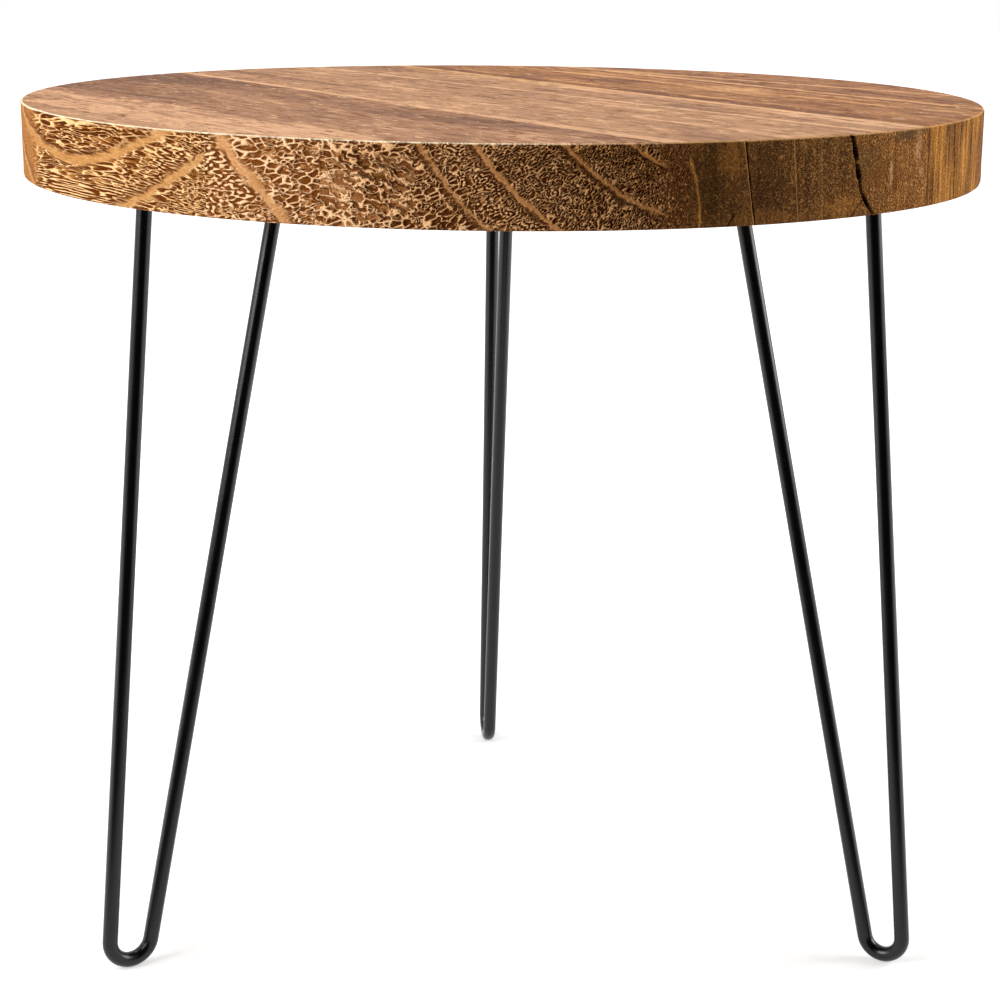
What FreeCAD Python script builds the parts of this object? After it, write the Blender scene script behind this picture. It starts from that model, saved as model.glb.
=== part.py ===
import FreeCAD, Part
import math
import os
import re
import Sketcher
from FreeCAD import Placement, Rotation, Vector

# Side table: a round glued-up board top, 625 mm across and 555 mm high, on three bent rod legs.
# The origin lies on the floor under the middle of the top. +Z is up and the back leg stands at +Y.

doc = FreeCAD.newDocument("hairpin_leg_table")
sheet = doc.addObject("Spreadsheet::Sheet", "Sizes")

# Sizes in mm, angles in degrees: name, value, what it is
size_rows = [
    ("top_diameter", 625, "across the round top"),
    ("top_thickness", 47, "of the boards"),
    ("arris_bevel", 1.2, "dulled edge round both faces"),
    ("strip_width", 25.5, "narrow strip at the rim, at its widest"),
    ("middle_width", 182, "board that crosses the middle"),
    ("outer_width", 109.5, "last board, at its widest"),
    ("wide_share", 0.65, "of what these three leave; the narrow board has the rest"),
    ("board_angle", -56.4, "way the boards run, from +X"),
    ("dowel_diameter", 10, "joint dowels"),
    ("dowel_length", 50, "joint dowels"),
    ("dowel_row_length", 320, "from the first to the last dowel of a joint"),
    ("dowel_clearance", 0.1, "round a dowel"),
    ("dowel_end_gap", 1.5, "glue space past a dowel's end"),
    ("crack_depth", 30, "drying crack in the middle board, in from the rim"),
    ("crack_knee_height", 15, "bend in the crack, above the underside"),
    ("crack_top_inset", 74, "crack at the upper face, from the joint beside it"),
    ("crack_knee_inset", 64.8, "crack at its bend, from that joint"),
    ("crack_foot_inset", 54, "crack at the underside, from that joint"),
    ("crack_top_width", 2.4, "crack at the upper face"),
    ("crack_knee_width", 1.9, "crack at its bend"),
    ("crack_foot_width", 0.8, "crack at the underside"),
    ("crack_closed_share", 0.1, "of its width, left at the crack's inner end"),
    ("leg_height", 508, "floor to the underside of the top"),
    ("rod_diameter", 10, "leg rod"),
    ("rod_spread", 92, "between both ends of a rod"),
    ("back_leg_inset", 100.2, "middle of the back plate, in from the rim"),
    ("back_leg_angle", 89.55, "place of the back plate, from +X"),
    ("back_turn_angle", 95.87, "way the back leg splays, from +X"),
    ("back_foot_reach", 74.9, "middle of its bend, out from the middle of its plate"),
    ("back_bend_radius", 9.6, "inside of its bend at the foot"),
    ("left_leg_inset", 103.2, "middle of the left plate, in from the rim"),
    ("left_leg_angle", 208.98, "place of the left plate, from +X"),
    ("left_turn_angle", 212.56, "way the left leg splays, from +X"),
    ("left_foot_reach", 74.4, "middle of its bend, out from the middle of its plate"),
    ("left_bend_radius", 9.6, "inside of its bend at the foot"),
    ("right_leg_inset", 100.3, "middle of the right plate, in from the rim"),
    ("right_leg_angle", 331.21, "place of the right plate, from +X"),
    ("right_turn_angle", 327.58, "way the right leg splays, from +X"),
    ("right_foot_reach", 77.1, "middle of its bend, out from the middle of its plate"),
    ("right_bend_radius", 8.2, "inside of its bend at the foot"),
    ("plate_thickness", 4, "leg plate"),
    ("plate_width", 50, "leg plate across the rod"),
    ("plate_margin", 14, "leg plate past a rod's middle"),
    ("plate_corner", 6, "round at the plate's corners"),
    ("plate_bevel", 0.6, "dulled lower edge of the plate"),
    ("weld_leg", 3.5, "weld bead, out from the rod and down it"),
    ("hole_diameter", 5.2, "screw hole in the plate"),
    ("hole_margin", 12, "screw hole in from the plate's edges"),
    ("screw_core", 3.4, "under the thread"),
    ("screw_length", 19, "under the head"),
    ("head_diameter", 9.2, "pan head at the plate"),
    ("head_face", 7.8, "pan head at its face"),
    ("head_height", 2.9, "pan head"),
    ("pilot_clearance", 0.05, "round the core of a screw"),
    ("pilot_extra", 2, "pilot hole past a screw's end"),
    ("cut_overrun", 5, "past the face that a cut opens"),
]
for row, (alias, number, note) in enumerate(size_rows, start=1):
    sheet.set(f"A{row}", alias)
    sheet.set(f"B{row}", str(number))
    sheet.setAlias(f"B{row}", alias)
    sheet.set(f"C{row}", note)
doc.recompute()
size_names = {alias for alias, number, note in size_rows}


# A formula over the size names, as the document binds it
def bound(formula):
    return re.sub(r"[a-z_]+", lambda word: f"Sizes.{word.group()}" if word.group() in size_names else word.group(), formula)


def value(formula):
    return float(sheet.evalExpression(bound(formula)))


# Lengths worked out from the named sizes
top_radius = "(top_diameter / 2)"
rod_radius = "(rod_diameter / 2)"
outer_rod_x = "(rod_spread / 2)"
inner_rod_x = "(0 - rod_spread / 2)"
plate_underside = "(leg_height - plate_thickness)"
hole_x = f"({inner_rod_x} - plate_margin + hole_margin)"
hole_y = "(plate_width / 2 - hole_margin)"
hole_spacing_x = "(rod_spread + 2 * plate_margin - 2 * hole_margin)"
hole_spacing_y = "(plate_width - 2 * hole_margin)"

# Joints between the boards, as offsets across the boards from the middle of the top
joint_strip = f"(strip_width - {top_radius})"
joint_middle = f"({joint_strip} + wide_share * (top_diameter - strip_width - middle_width - outer_width))"
joint_narrow = f"({joint_middle} + middle_width)"
joint_outer = f"({top_radius} - outer_width)"
far_side = f"({top_radius} + cut_overrun)"

leg_sides = ["back", "left", "right"]
bend_middle_radius = {side: f"({side}_bend_radius + {rod_radius})" for side in leg_sides}
bend_middle_height = {side: f"({bend_middle_radius[side]} + {rod_radius})" for side in leg_sides}
dowel_count = 3
pair_count = 2


def origin_feature(body, role):
    return [feature for feature in body.Origin.OriginFeatures if feature.Role == role][0]


# A sketch on one of the body's own planes, moved by formulas
def new_sketch(body, name, role, moved=None):
    sketch = body.newObject("Sketcher::SketchObject", name)
    sketch.AttachmentSupport = [(origin_feature(body, role), "")]
    sketch.MapMode = "FlatFace"
    for axis, formula in (moved or {}).items():
        sketch.setExpression(f"AttachmentOffset.Base.{axis}", bound(formula))
    return sketch


# Ties a point of the sketch to its origin along one axis
def tie_point(sketch, axis, geometry, end, formula):
    distance = value(formula)
    line = -2 if axis == "X" else -1
    if distance == 0:
        sketch.addConstraint(Sketcher.Constraint("PointOnObject", geometry, end, line))
        return
    if distance > 0:
        row = sketch.addConstraint(Sketcher.Constraint("Distance" + axis, -1, 1, geometry, end, distance))
        sketch.setExpression(f"Constraints[{row}]", bound(formula))
    else:
        row = sketch.addConstraint(Sketcher.Constraint("Distance" + axis, geometry, end, -1, 1, -distance))
        sketch.setExpression(f"Constraints[{row}]", bound(f"-({formula})"))


def tie_size(sketch, kind, geometry, formula):
    row = sketch.addConstraint(Sketcher.Constraint(kind, geometry, value(formula)))
    sketch.setExpression(f"Constraints[{row}]", bound(formula))


# Middle of an arc through two points; turn is 1 for counterclockwise and -1 for clockwise
def arc_middle(start, end, radius, turn):
    chord = end - start
    half = chord.Length / 2
    rise = math.sqrt(max(radius * radius - half * half, 0))
    side = Vector(-chord.y, chord.x, 0).normalize()
    return (start + end) / 2 + side * rise * turn


# A closed outline. Each corner has its two formulas and, where an arc leads to it, radius and turn.
def draw_outline(sketch, corners):
    points = [Vector(value(corner[0]), value(corner[1]), 0) for corner in corners]
    ends = []
    for number, corner in enumerate(corners):
        start = points[number - 1]
        end = points[number]
        if len(corner) == 2:
            geometry = sketch.addGeometry(Part.LineSegment(start, end), False)
            ends.append((geometry, 1, 2))
            continue
        radius = value(corner[2])
        turn = corner[3]
        middle = arc_middle(start, end, radius, turn)
        first, last = (start, end) if turn > 0 else (end, start)
        first_angle = math.atan2(first.y - middle.y, first.x - middle.x)
        last_angle = math.atan2(last.y - middle.y, last.x - middle.x)
        if last_angle < first_angle:
            last_angle += 2 * math.pi
        circle = Part.Circle(middle, Vector(0, 0, 1), radius)
        geometry = sketch.addGeometry(Part.ArcOfCircle(circle, first_angle, last_angle), False)
        ends.append((geometry, 1, 2) if turn > 0 else (geometry, 2, 1))
    for number, corner in enumerate(corners):
        geometry, start_end, far_end = ends[number]
        next_geometry, next_start, next_far = ends[(number + 1) % len(corners)]
        sketch.addConstraint(Sketcher.Constraint("Coincident", geometry, far_end, next_geometry, next_start))
        tie_point(sketch, "X", geometry, far_end, corner[0])
        tie_point(sketch, "Y", geometry, far_end, corner[1])
        if len(corner) > 2:
            tie_size(sketch, "Radius", geometry, corner[2])


def draw_circle(sketch, x_formula, y_formula, radius_formula):
    middle = Vector(value(x_formula), value(y_formula), 0)
    geometry = sketch.addGeometry(Part.Circle(middle, Vector(0, 0, 1), value(radius_formula)), False)
    tie_point(sketch, "X", geometry, 3, x_formula)
    tie_point(sketch, "Y", geometry, 3, y_formula)
    tie_size(sketch, "Radius", geometry, radius_formula)


# A cut that runs up from its sketch or, with down set, below it; the volume shows that it cuts
def cut_pocket(body, name, sketch, length_formula, down=False):
    before = body.Shape.Volume
    pocket = body.newObject("PartDesign::Pocket", name)
    pocket.Profile = sketch
    pocket.setExpression("Length", bound(length_formula))
    pocket.Reversed = not down
    doc.recompute()
    if not pocket.Shape.Volume < before:
        raise ValueError(f"{name} cuts nothing")
    return pocket


# Repeats a feature in a line or a grid; the body ends with the pattern
def repeat(body, name, feature, first, second=None):
    pattern = body.newObject("PartDesign::LinearPattern", name)
    pattern.Originals = [feature]
    pattern.Direction = (origin_feature(body, first[0]), [""])
    pattern.setExpression("Length", bound(first[1]))
    pattern.Occurrences = first[2]
    if second:
        pattern.Direction2 = (origin_feature(body, second[0]), [""])
        pattern.setExpression("Length2", bound(second[1]))
        pattern.Occurrences2 = second[2]
    body.Tip = pattern
    doc.recompute()
    return pattern


# Dowels and screws are turned, so each is one outline revolved about the sketch's upright axis
def revolve(body, name, sketch):
    solid = body.newObject("PartDesign::Revolution", name)
    solid.Profile = sketch
    solid.ReferenceAxis = (sketch, ["V_Axis"])
    solid.Angle = 360
    doc.recompute()
    return solid


# Top boards

# The rim and both dulled edges are turned in one cut, after the boards are glued
def turn_rim(body):
    rim = new_sketch(body, body.Name + "_rim", "XZ_Plane")
    inner = f"({top_radius} - arris_bevel)"
    beyond = f"({top_radius} * 2)"
    above = "(top_thickness + cut_overrun)"
    below = "(0 - cut_overrun)"
    draw_outline(rim, [
        (inner, below),
        (beyond, below),
        (beyond, above),
        (inner, above),
        (inner, "top_thickness"),
        (top_radius, "top_thickness - arris_bevel"),
        (top_radius, "arris_bevel"),
        (inner, "0"),
    ])
    groove = body.newObject("PartDesign::Groove", body.Name + "_turned")
    groove.Profile = rim
    groove.ReferenceAxis = (rim, ["V_Axis"])
    groove.Angle = 360
    before = body.Shape.Volume
    doc.recompute()
    if not groove.Shape.Volume < before:
        raise ValueError(f"{body.Name} has no round edge")


# Blind dowel holes in the edge of a board; upward means that the hole runs to greater offsets
def drill_dowel_holes(body, name, joint, upward):
    first_x = "(0 - dowel_row_length / 2)"
    holes = new_sketch(body, name, "XZ_Plane", {"z": f"0 - {joint}"})
    draw_circle(holes, first_x, "top_thickness / 2", "dowel_diameter / 2 + dowel_clearance")
    drilled = cut_pocket(body, name + "_drilled", holes, "dowel_length / 2 + dowel_end_gap", down=upward)
    repeat(body, name + "_row", drilled, ("X_Axis", "dowel_row_length", dowel_count))


# A drying crack, open through the rim and both faces, that closes towards the middle of the board
def open_crack(body, name):
    rim_x = f"sqrt({top_radius} ^ 2 - ({joint_narrow} - crack_knee_inset) ^ 2)"
    sections = []
    for part, along, share in (
        ("mouth", far_side, "1"),
        ("root", f"({rim_x} - crack_depth)", "crack_closed_share"),
    ):
        section = new_sketch(body, f"{name}_{part}", "YZ_Plane", {"z": along})
        half = f"{share} / 2"
        draw_outline(section, [
            (f"{joint_narrow} - crack_foot_inset - crack_foot_width * {half}", "0 - cut_overrun"),
            (f"{joint_narrow} - crack_foot_inset + crack_foot_width * {half}", "0 - cut_overrun"),
            (f"{joint_narrow} - crack_knee_inset + crack_knee_width * {half}", "crack_knee_height"),
            (f"{joint_narrow} - crack_top_inset + crack_top_width * {half}", "top_thickness + cut_overrun"),
            (f"{joint_narrow} - crack_top_inset - crack_top_width * {half}", "top_thickness + cut_overrun"),
            (f"{joint_narrow} - crack_knee_inset - crack_knee_width * {half}", "crack_knee_height"),
        ])
        sections.append(section)
    before = body.Shape.Volume
    crack = body.newObject("PartDesign::SubtractiveLoft", name + "_opened")
    crack.Profile = sections[0]
    crack.Sections = sections[1:]
    crack.Ruled = True
    doc.recompute()
    if not crack.Shape.Volume < before:
        raise ValueError(f"{name} cuts nothing")


def make_board(label, low, high, low_joint, high_joint, cracked=False):
    body = doc.addObject("PartDesign::Body", label + "_blank")
    outline = new_sketch(body, body.Name + "_outline", "XY_Plane")
    side = f"(0 - {far_side})"
    draw_outline(outline, [(side, low), (far_side, low), (far_side, high), (side, high)])
    plank = body.newObject("PartDesign::Pad", body.Name + "_plank")
    plank.Profile = outline
    plank.setExpression("Length", bound("top_thickness"))
    doc.recompute()
    turn_rim(body)
    if low_joint:
        drill_dowel_holes(body, body.Name + "_low_holes", low, True)
    if high_joint:
        drill_dowel_holes(body, body.Name + "_high_holes", high, False)
    if cracked:
        open_crack(body, body.Name + "_crack")
    body.setExpression("Placement.Base.z", bound("leg_height"))
    body.setExpression("Placement.Rotation.Angle", bound("board_angle"))
    doc.recompute()
    return body


boards = {
    "top_board_edge_strip": make_board("top_board_edge_strip", f"(0 - {far_side})", joint_strip, False, False),
    "top_board_wide": make_board("top_board_wide", joint_strip, joint_middle, False, True),
    "top_board_middle": make_board("top_board_middle", joint_middle, joint_narrow, True, True, True),
    "top_board_narrow": make_board("top_board_narrow", joint_narrow, joint_outer, True, True),
    "top_board_outer": make_board("top_board_outer", joint_outer, far_side, True, False),
}


# Joint dowels, in line across each wide joint

def make_dowels(label, joint):
    body = doc.addObject("PartDesign::Body", label)
    first_x = "(0 - dowel_row_length / 2)"
    outline = new_sketch(body, label + "_outline", "XY_Plane", {
        "x": first_x,
        "y": joint,
        "z": "top_thickness / 2",
    })
    end = "(dowel_length / 2)"
    radius = "(dowel_diameter / 2)"
    draw_outline(outline, [
        ("0", f"0 - {end}"),
        (radius, f"0 - {end}"),
        (radius, end),
        ("0", end),
    ])
    dowel = revolve(body, label + "_pin", outline)
    repeat(body, label + "_row", dowel, ("X_Axis", "dowel_row_length", dowel_count))
    body.setExpression("Placement.Base.z", bound("leg_height"))
    body.setExpression("Placement.Rotation.Angle", bound("board_angle"))
    return body


pieces = [
    make_dowels("dowels_wide_to_middle", joint_middle),
    make_dowels("dowels_middle_to_narrow", joint_narrow),
    make_dowels("dowels_narrow_to_outer", joint_outer),
]


# Legs. Each piece is drawn about the middle of its plate, with the foot towards +X.

def place_leg(piece, side):
    piece.Placement = Placement(Vector(0, 0, 0), Rotation(Vector(0, 0, 1), value(f"{side}_turn_angle")))
    reach = f"({top_radius} - {side}_leg_inset)"
    piece.setExpression("Placement.Base.x", bound(f"{reach} * cos({side}_leg_angle)"))
    piece.setExpression("Placement.Base.y", bound(f"{reach} * sin({side}_leg_angle)"))


# Direction of a straight run, down from its end at the plate to the bend; way is 1 outside and -1 inside
def run_direction(side, seat_x, way):
    seat = Vector(seat_x, 0, value(plate_underside))
    middle = Vector(value(f"{side}_foot_reach"), 0, value(bend_middle_height[side]))
    reach = middle - seat
    lean = math.asin(value(bend_middle_radius[side]) / reach.Length) * way
    angle = math.atan2(reach.x, -reach.z) + lean
    return Vector(math.sin(angle), 0, -math.cos(angle))


# One rod: down to the foot, round the bend and up again, cut flush with the plate
def make_rod(label, side):
    body = doc.addObject("PartDesign::Body", label)
    path = new_sketch(body, label + "_path", "XZ_Plane")
    middle = Vector(value(f"{side}_foot_reach"), value(bend_middle_height[side]), 0)
    radius = value(bend_middle_radius[side])
    top_height = value("leg_height + cut_overrun")
    runs = []
    for seat_formula, way in ((inner_rod_x, -1), (outer_rod_x, 1)):
        down = run_direction(side, value(seat_formula), way)
        down = Vector(down.x, down.z, 0)
        seat = Vector(value(seat_formula), value(plate_underside), 0)
        high = seat + down * ((top_height - seat.y) / down.y)
        touch = seat + down * down.dot(middle - seat)
        runs.append((seat_formula, seat, high, touch))
    inner_run = path.addGeometry(Part.LineSegment(runs[0][2], runs[0][3]), False)
    first_angle = math.atan2(runs[0][3].y - middle.y, runs[0][3].x - middle.x)
    last_angle = math.atan2(runs[1][3].y - middle.y, runs[1][3].x - middle.x)
    if first_angle > last_angle:
        first_angle -= 2 * math.pi
    circle = Part.Circle(middle, Vector(0, 0, 1), radius)
    bend = path.addGeometry(Part.ArcOfCircle(circle, first_angle, last_angle), False)
    outer_run = path.addGeometry(Part.LineSegment(runs[1][3], runs[1][2]), False)
    path.addConstraint(Sketcher.Constraint("Tangent", inner_run, 2, bend, 1))
    path.addConstraint(Sketcher.Constraint("Tangent", bend, 2, outer_run, 1))
    tie_point(path, "X", bend, 3, f"{side}_foot_reach")
    tie_point(path, "Y", bend, 3, bend_middle_height[side])
    tie_size(path, "Radius", bend, bend_middle_radius[side])
    tie_point(path, "Y", inner_run, 1, "leg_height + cut_overrun")
    tie_point(path, "Y", outer_run, 2, "leg_height + cut_overrun")
    for run, geometry in ((runs[0], inner_run), (runs[1], outer_run)):
        mark = path.addGeometry(Part.Point(run[1]), True)
        tie_point(path, "X", mark, 1, run[0])
        tie_point(path, "Y", mark, 1, plate_underside)
        path.addConstraint(Sketcher.Constraint("PointOnObject", mark, 1, geometry))
    doc.recompute()
    section = body.newObject("Sketcher::SketchObject", label + "_section")
    section.AttachmentSupport = [(path, "Edge1")]
    section.MapMode = "NormalToEdge"
    section.MapPathParameter = 0.0
    draw_circle(section, "0", "0", rod_radius)
    doc.recompute()
    rod = body.newObject("PartDesign::AdditivePipe", label + "_bent")
    rod.Profile = section
    rod.Spine = (path, [])
    doc.recompute()
    saw_line = new_sketch(body, label + "_saw_line", "XY_Plane", {"z": plate_underside})
    draw_outline(saw_line, [
        ("0 - rod_spread", "0 - plate_width"),
        ("rod_spread", "0 - plate_width"),
        ("rod_spread", "plate_width"),
        ("0 - rod_spread", "plate_width"),
    ])
    cut_pocket(body, label + "_ends", saw_line, "plate_thickness + 2 * cut_overrun")
    place_leg(body, side)
    return body


# Flat plate with four screw holes and dulled lower edges
def make_plate(label, side):
    body = doc.addObject("PartDesign::Body", label)
    low_x = f"({inner_rod_x} - plate_margin)"
    high_x = f"({outer_rod_x} + plate_margin)"
    outline = new_sketch(body, label + "_outline", "XY_Plane", {"z": plate_underside})
    edge = "(plate_width / 2)"
    draw_outline(outline, [
        (f"{high_x} - plate_corner", f"0 - {edge}"),
        (high_x, f"0 - {edge} + plate_corner", "plate_corner", 1),
        (high_x, f"{edge} - plate_corner"),
        (f"{high_x} - plate_corner", edge, "plate_corner", 1),
        (f"{low_x} + plate_corner", edge),
        (low_x, f"{edge} - plate_corner", "plate_corner", 1),
        (low_x, f"0 - {edge} + plate_corner"),
        (f"{low_x} + plate_corner", f"0 - {edge}", "plate_corner", 1),
    ])
    flat = body.newObject("PartDesign::Pad", label + "_flat")
    flat.Profile = outline
    flat.setExpression("Length", bound("plate_thickness"))
    doc.recompute()
    lower_edges = []
    for number, one_edge in enumerate(flat.Shape.Edges, start=1):
        box = one_edge.BoundBox
        if box.ZLength < value("plate_bevel") and box.ZMax < value(f"{plate_underside} + plate_bevel"):
            lower_edges.append(f"Edge{number}")
    bevel = body.newObject("PartDesign::Chamfer", label + "_bevel")
    bevel.Base = (flat, lower_edges)
    bevel.setExpression("Size", bound("plate_bevel"))
    doc.recompute()
    holes = new_sketch(body, label + "_hole", "XY_Plane", {"z": plate_underside})
    draw_circle(holes, hole_x, f"0 - {hole_y}", "hole_diameter / 2")
    drilled = cut_pocket(body, label + "_drilled", holes, "plate_thickness + cut_overrun")
    repeat(
        body, label + "_hole_grid", drilled,
        ("X_Axis", hole_spacing_x, pair_count), ("Y_Axis", hole_spacing_y, pair_count),
    )
    place_leg(body, side)
    return body


# Pan-head screws, driven up through the plate into the boards
def make_screws(label, side):
    body = doc.addObject("PartDesign::Body", label)
    outline = new_sketch(body, label + "_outline", "XZ_Plane", {
        "x": hole_x,
        "y": plate_underside,
        "z": hole_y,
    })
    draw_outline(outline, [
        ("0", "0 - head_height"),
        ("head_face / 2", "0 - head_height"),
        ("head_diameter / 2", "0"),
        ("screw_core / 2", "0"),
        ("screw_core / 2", "screw_length"),
        ("0", "screw_length"),
    ])
    screw = revolve(body, label + "_screw", outline)
    repeat(
        body, label + "_grid", screw,
        ("X_Axis", hole_spacing_x, pair_count), ("Y_Axis", hole_spacing_y, pair_count),
    )
    place_leg(body, side)
    return body


# Pilot holes that the screws need in the boards
def make_pilot_holes(label, side):
    body = doc.addObject("PartDesign::Body", label)
    outline = new_sketch(body, label + "_outline", "XZ_Plane", {
        "x": hole_x,
        "y": "leg_height",
        "z": hole_y,
    })
    depth = "(screw_length - plate_thickness + pilot_extra)"
    radius = "(screw_core / 2 + pilot_clearance)"
    draw_outline(outline, [
        ("0", "0 - cut_overrun"),
        (radius, "0 - cut_overrun"),
        (radius, depth),
        ("0", depth),
    ])
    hole = revolve(body, label + "_hole", outline)
    repeat(
        body, label + "_grid", hole,
        ("X_Axis", hole_spacing_x, pair_count), ("Y_Axis", hole_spacing_y, pair_count),
    )
    place_leg(body, side)
    return body


# Weld beads: a cone along each rod end, less the rod and less what lies above the plate's underside
def make_welds(label, side):
    beads = []
    for name, seat_formula, way in (("inner", inner_rod_x, -1), ("outer", outer_rod_x, 1)):
        seat = Vector(value(seat_formula), 0, value(plate_underside))
        down = run_direction(side, value(seat_formula), way)
        upright = Rotation(Vector(0, 0, -1), down)
        foot = seat + down * value("weld_leg")
        cone = doc.addObject("Part::Cone", f"{label}_{name}_cone")
        cone.setExpression("Radius1", bound(rod_radius))
        cone.setExpression("Radius2", bound(f"{rod_radius} + weld_leg * 2"))
        cone.setExpression("Height", bound("weld_leg * 2"))
        cone.Placement = Placement(foot, upright)
        rod = doc.addObject("Part::Cylinder", f"{label}_{name}_rod")
        rod.setExpression("Radius", bound(rod_radius))
        rod.setExpression("Height", bound("weld_leg * 2 + cut_overrun * 2"))
        rod.Placement = Placement(foot + down * value("cut_overrun"), upright)
        above = doc.addObject("Part::Box", f"{label}_{name}_above")
        above.setExpression("Length", bound("plate_width"))
        above.setExpression("Width", bound("plate_width"))
        above.setExpression("Height", bound("weld_leg * 2 + cut_overrun"))
        above.Placement = Placement(seat - Vector(value("plate_width / 2"), value("plate_width / 2"), 0), Rotation())
        ring = doc.addObject("Part::Cut", f"{label}_{name}_ring")
        ring.Base = cone
        ring.Tool = rod
        bead = doc.addObject("Part::Cut", f"{label}_{name}_bead")
        bead.Base = ring
        bead.Tool = above
        beads.append(bead)
    pair = doc.addObject("Part::Compound", label)
    pair.Links = beads
    place_leg(pair, side)
    return pair


pilots = []
for side in leg_sides:
    pieces.append(make_rod("leg_rod_" + side, side))
    pieces.append(make_plate("leg_plate_" + side, side))
    pieces.append(make_welds("weld_beads_" + side, side))
    pieces.append(make_screws("plate_screws_" + side, side))
    pilots.append(make_pilot_holes("pilot_holes_" + side, side))

# Each board is drilled where a plate's screws enter it
all_pilots = doc.addObject("Part::Compound", "pilot_holes")
all_pilots.Links = pilots
for label, body in boards.items():
    drilled_board = doc.addObject("Part::Cut", label)
    drilled_board.Base = body
    drilled_board.Tool = all_pilots
    pieces.append(drilled_board)

doc.recompute()
for thing in doc.Objects:
    if "Invalid" in thing.State or "Error" in thing.State:
        raise ValueError(f"{thing.Label} did not build: {thing.State}")
for piece in pieces:
    piece.Label = piece.Name
    if piece.Shape.isNull() or not piece.Shape.isValid() or not piece.Shape.Solids:
        raise ValueError(f"{piece.Label} is not a sound solid")

os.makedirs("parts", exist_ok=True)
for piece in pieces:
    piece.Shape.exportStep(f"parts/{piece.Label}.step")
    print(f"{piece.Label}: {len(piece.Shape.Solids)} solids, {piece.Shape.Volume:.1f} mm3")
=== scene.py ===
import math

import bmesh
import bpy
from mathutils import Matrix, Vector


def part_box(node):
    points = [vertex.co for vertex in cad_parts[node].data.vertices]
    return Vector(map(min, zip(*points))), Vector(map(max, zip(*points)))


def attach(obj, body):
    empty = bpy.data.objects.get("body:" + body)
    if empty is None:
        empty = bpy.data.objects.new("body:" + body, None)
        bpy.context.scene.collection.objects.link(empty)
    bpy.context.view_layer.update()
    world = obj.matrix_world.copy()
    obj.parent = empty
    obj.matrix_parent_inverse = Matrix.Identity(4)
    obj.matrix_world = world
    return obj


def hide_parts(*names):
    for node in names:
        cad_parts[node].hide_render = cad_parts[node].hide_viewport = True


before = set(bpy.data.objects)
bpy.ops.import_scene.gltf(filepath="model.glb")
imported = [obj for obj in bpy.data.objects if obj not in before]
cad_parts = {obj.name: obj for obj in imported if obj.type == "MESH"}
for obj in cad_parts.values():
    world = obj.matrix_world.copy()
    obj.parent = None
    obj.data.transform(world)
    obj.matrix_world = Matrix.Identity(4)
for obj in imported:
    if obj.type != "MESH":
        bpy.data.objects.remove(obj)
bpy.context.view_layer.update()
print("frame loaded")

# Round table top: sizes in metres, the grain's direction in degrees from +X
top = {
    "radius": 0.3124,
    "under": 0.508,
    "thickness": 0.047,
    "grainAngle": -56.4,
    "arrisRows": [(0.0040, 0.0), (0.0020, 0.0), (0.0011, 0.00012), (0.0004, 0.0005), (0.0, 0.0012)],
    "jointBevel": 0.0003,
}


# A value in a node tree, with Python's signs for its calculations
class Value:
    def __init__(self, socket):
        self.socket = socket
        self.tree = socket.id_data

    def __add__(self, other):
        return calc("ADD", self, other)

    def __radd__(self, other):
        return calc("ADD", other, self)

    def __sub__(self, other):
        return calc("SUBTRACT", self, other)

    def __rsub__(self, other):
        return calc("SUBTRACT", other, self)

    def __mul__(self, other):
        return calc("MULTIPLY", self, other)

    def __rmul__(self, other):
        return calc("MULTIPLY", other, self)

    def __truediv__(self, other):
        return calc("DIVIDE", self, other)

    def __rtruediv__(self, other):
        return calc("DIVIDE", other, self)

    def __abs__(self):
        return calc("ABSOLUTE", self)


# Small helpers for node trees; a value is a Value, a socket or a plain number

def treeOf(*values):
    return next(value.tree for value in values if isinstance(value, Value))


def feed(socket, value):
    if isinstance(value, Value):
        value = value.socket
    if isinstance(value, bpy.types.NodeSocket):
        socket.id_data.links.new(value, socket)
    elif value is not None:
        socket.default_value = value


def addNode(tree, kind, settings=None, **values):
    made = tree.nodes.new(kind)
    for name, setting in (settings or {}).items():
        setattr(made, name, setting)
    for name, value in values.items():
        feed(made.inputs[name.replace("_", " ")], value)
    return made


def calc(operation, *values, clamp=False):
    made = addNode(treeOf(*values), "ShaderNodeMath", {"operation": operation, "use_clamp": clamp})
    for socket, value in zip(made.inputs, values):
        feed(socket, value)
    return Value(made.outputs[0])


def larger(first, second):
    return calc("MAXIMUM", first, second)


def vectorCalc(operation, *values):
    made = addNode(treeOf(*values), "ShaderNodeVectorMath", {"operation": operation})
    for socket, value in zip(made.inputs, values):
        feed(socket, value)
    return Value(made.outputs["Value"] if operation == "LENGTH" else made.outputs[0])


def stretched(vector, stretch):
    return vectorCalc("MULTIPLY", vector, stretch)


def smooth(value, low, high, toLow=0.0, toHigh=1.0, kind="SMOOTHSTEP"):
    return Value(addNode(value.tree, "ShaderNodeMapRange", {"interpolation_type": kind}, Value=value, From_Min=low,
                         From_Max=high, To_Min=toLow, To_Max=toHigh).outputs[0])


def falling(value, low, high):
    return smooth(value, low, high, 1.0, 0.0)


def combine(x, y, z):
    return Value(addNode(treeOf(x, y, z), "ShaderNodeCombineXYZ", X=x, Y=y, Z=z).outputs[0])


def separate(vector):
    return [Value(part) for part in addNode(vector.tree, "ShaderNodeSeparateXYZ", Vector=vector).outputs]


def flatReach(parts):
    return vectorCalc("LENGTH", combine(parts[0], parts[1], 0.0))


def noise(vector, scale=1.0, detail=2.0, roughness=0.5, output=0):
    return Value(addNode(vector.tree, "ShaderNodeTexNoise", Vector=vector, Scale=scale, Detail=detail,
                         Roughness=roughness).outputs[output])


# Noise stretched along, across and up the board; then come its scale, detail and roughness
def layer(vector, stretch, *options):
    return noise(stretched(vector, stretch), *options)


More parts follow.
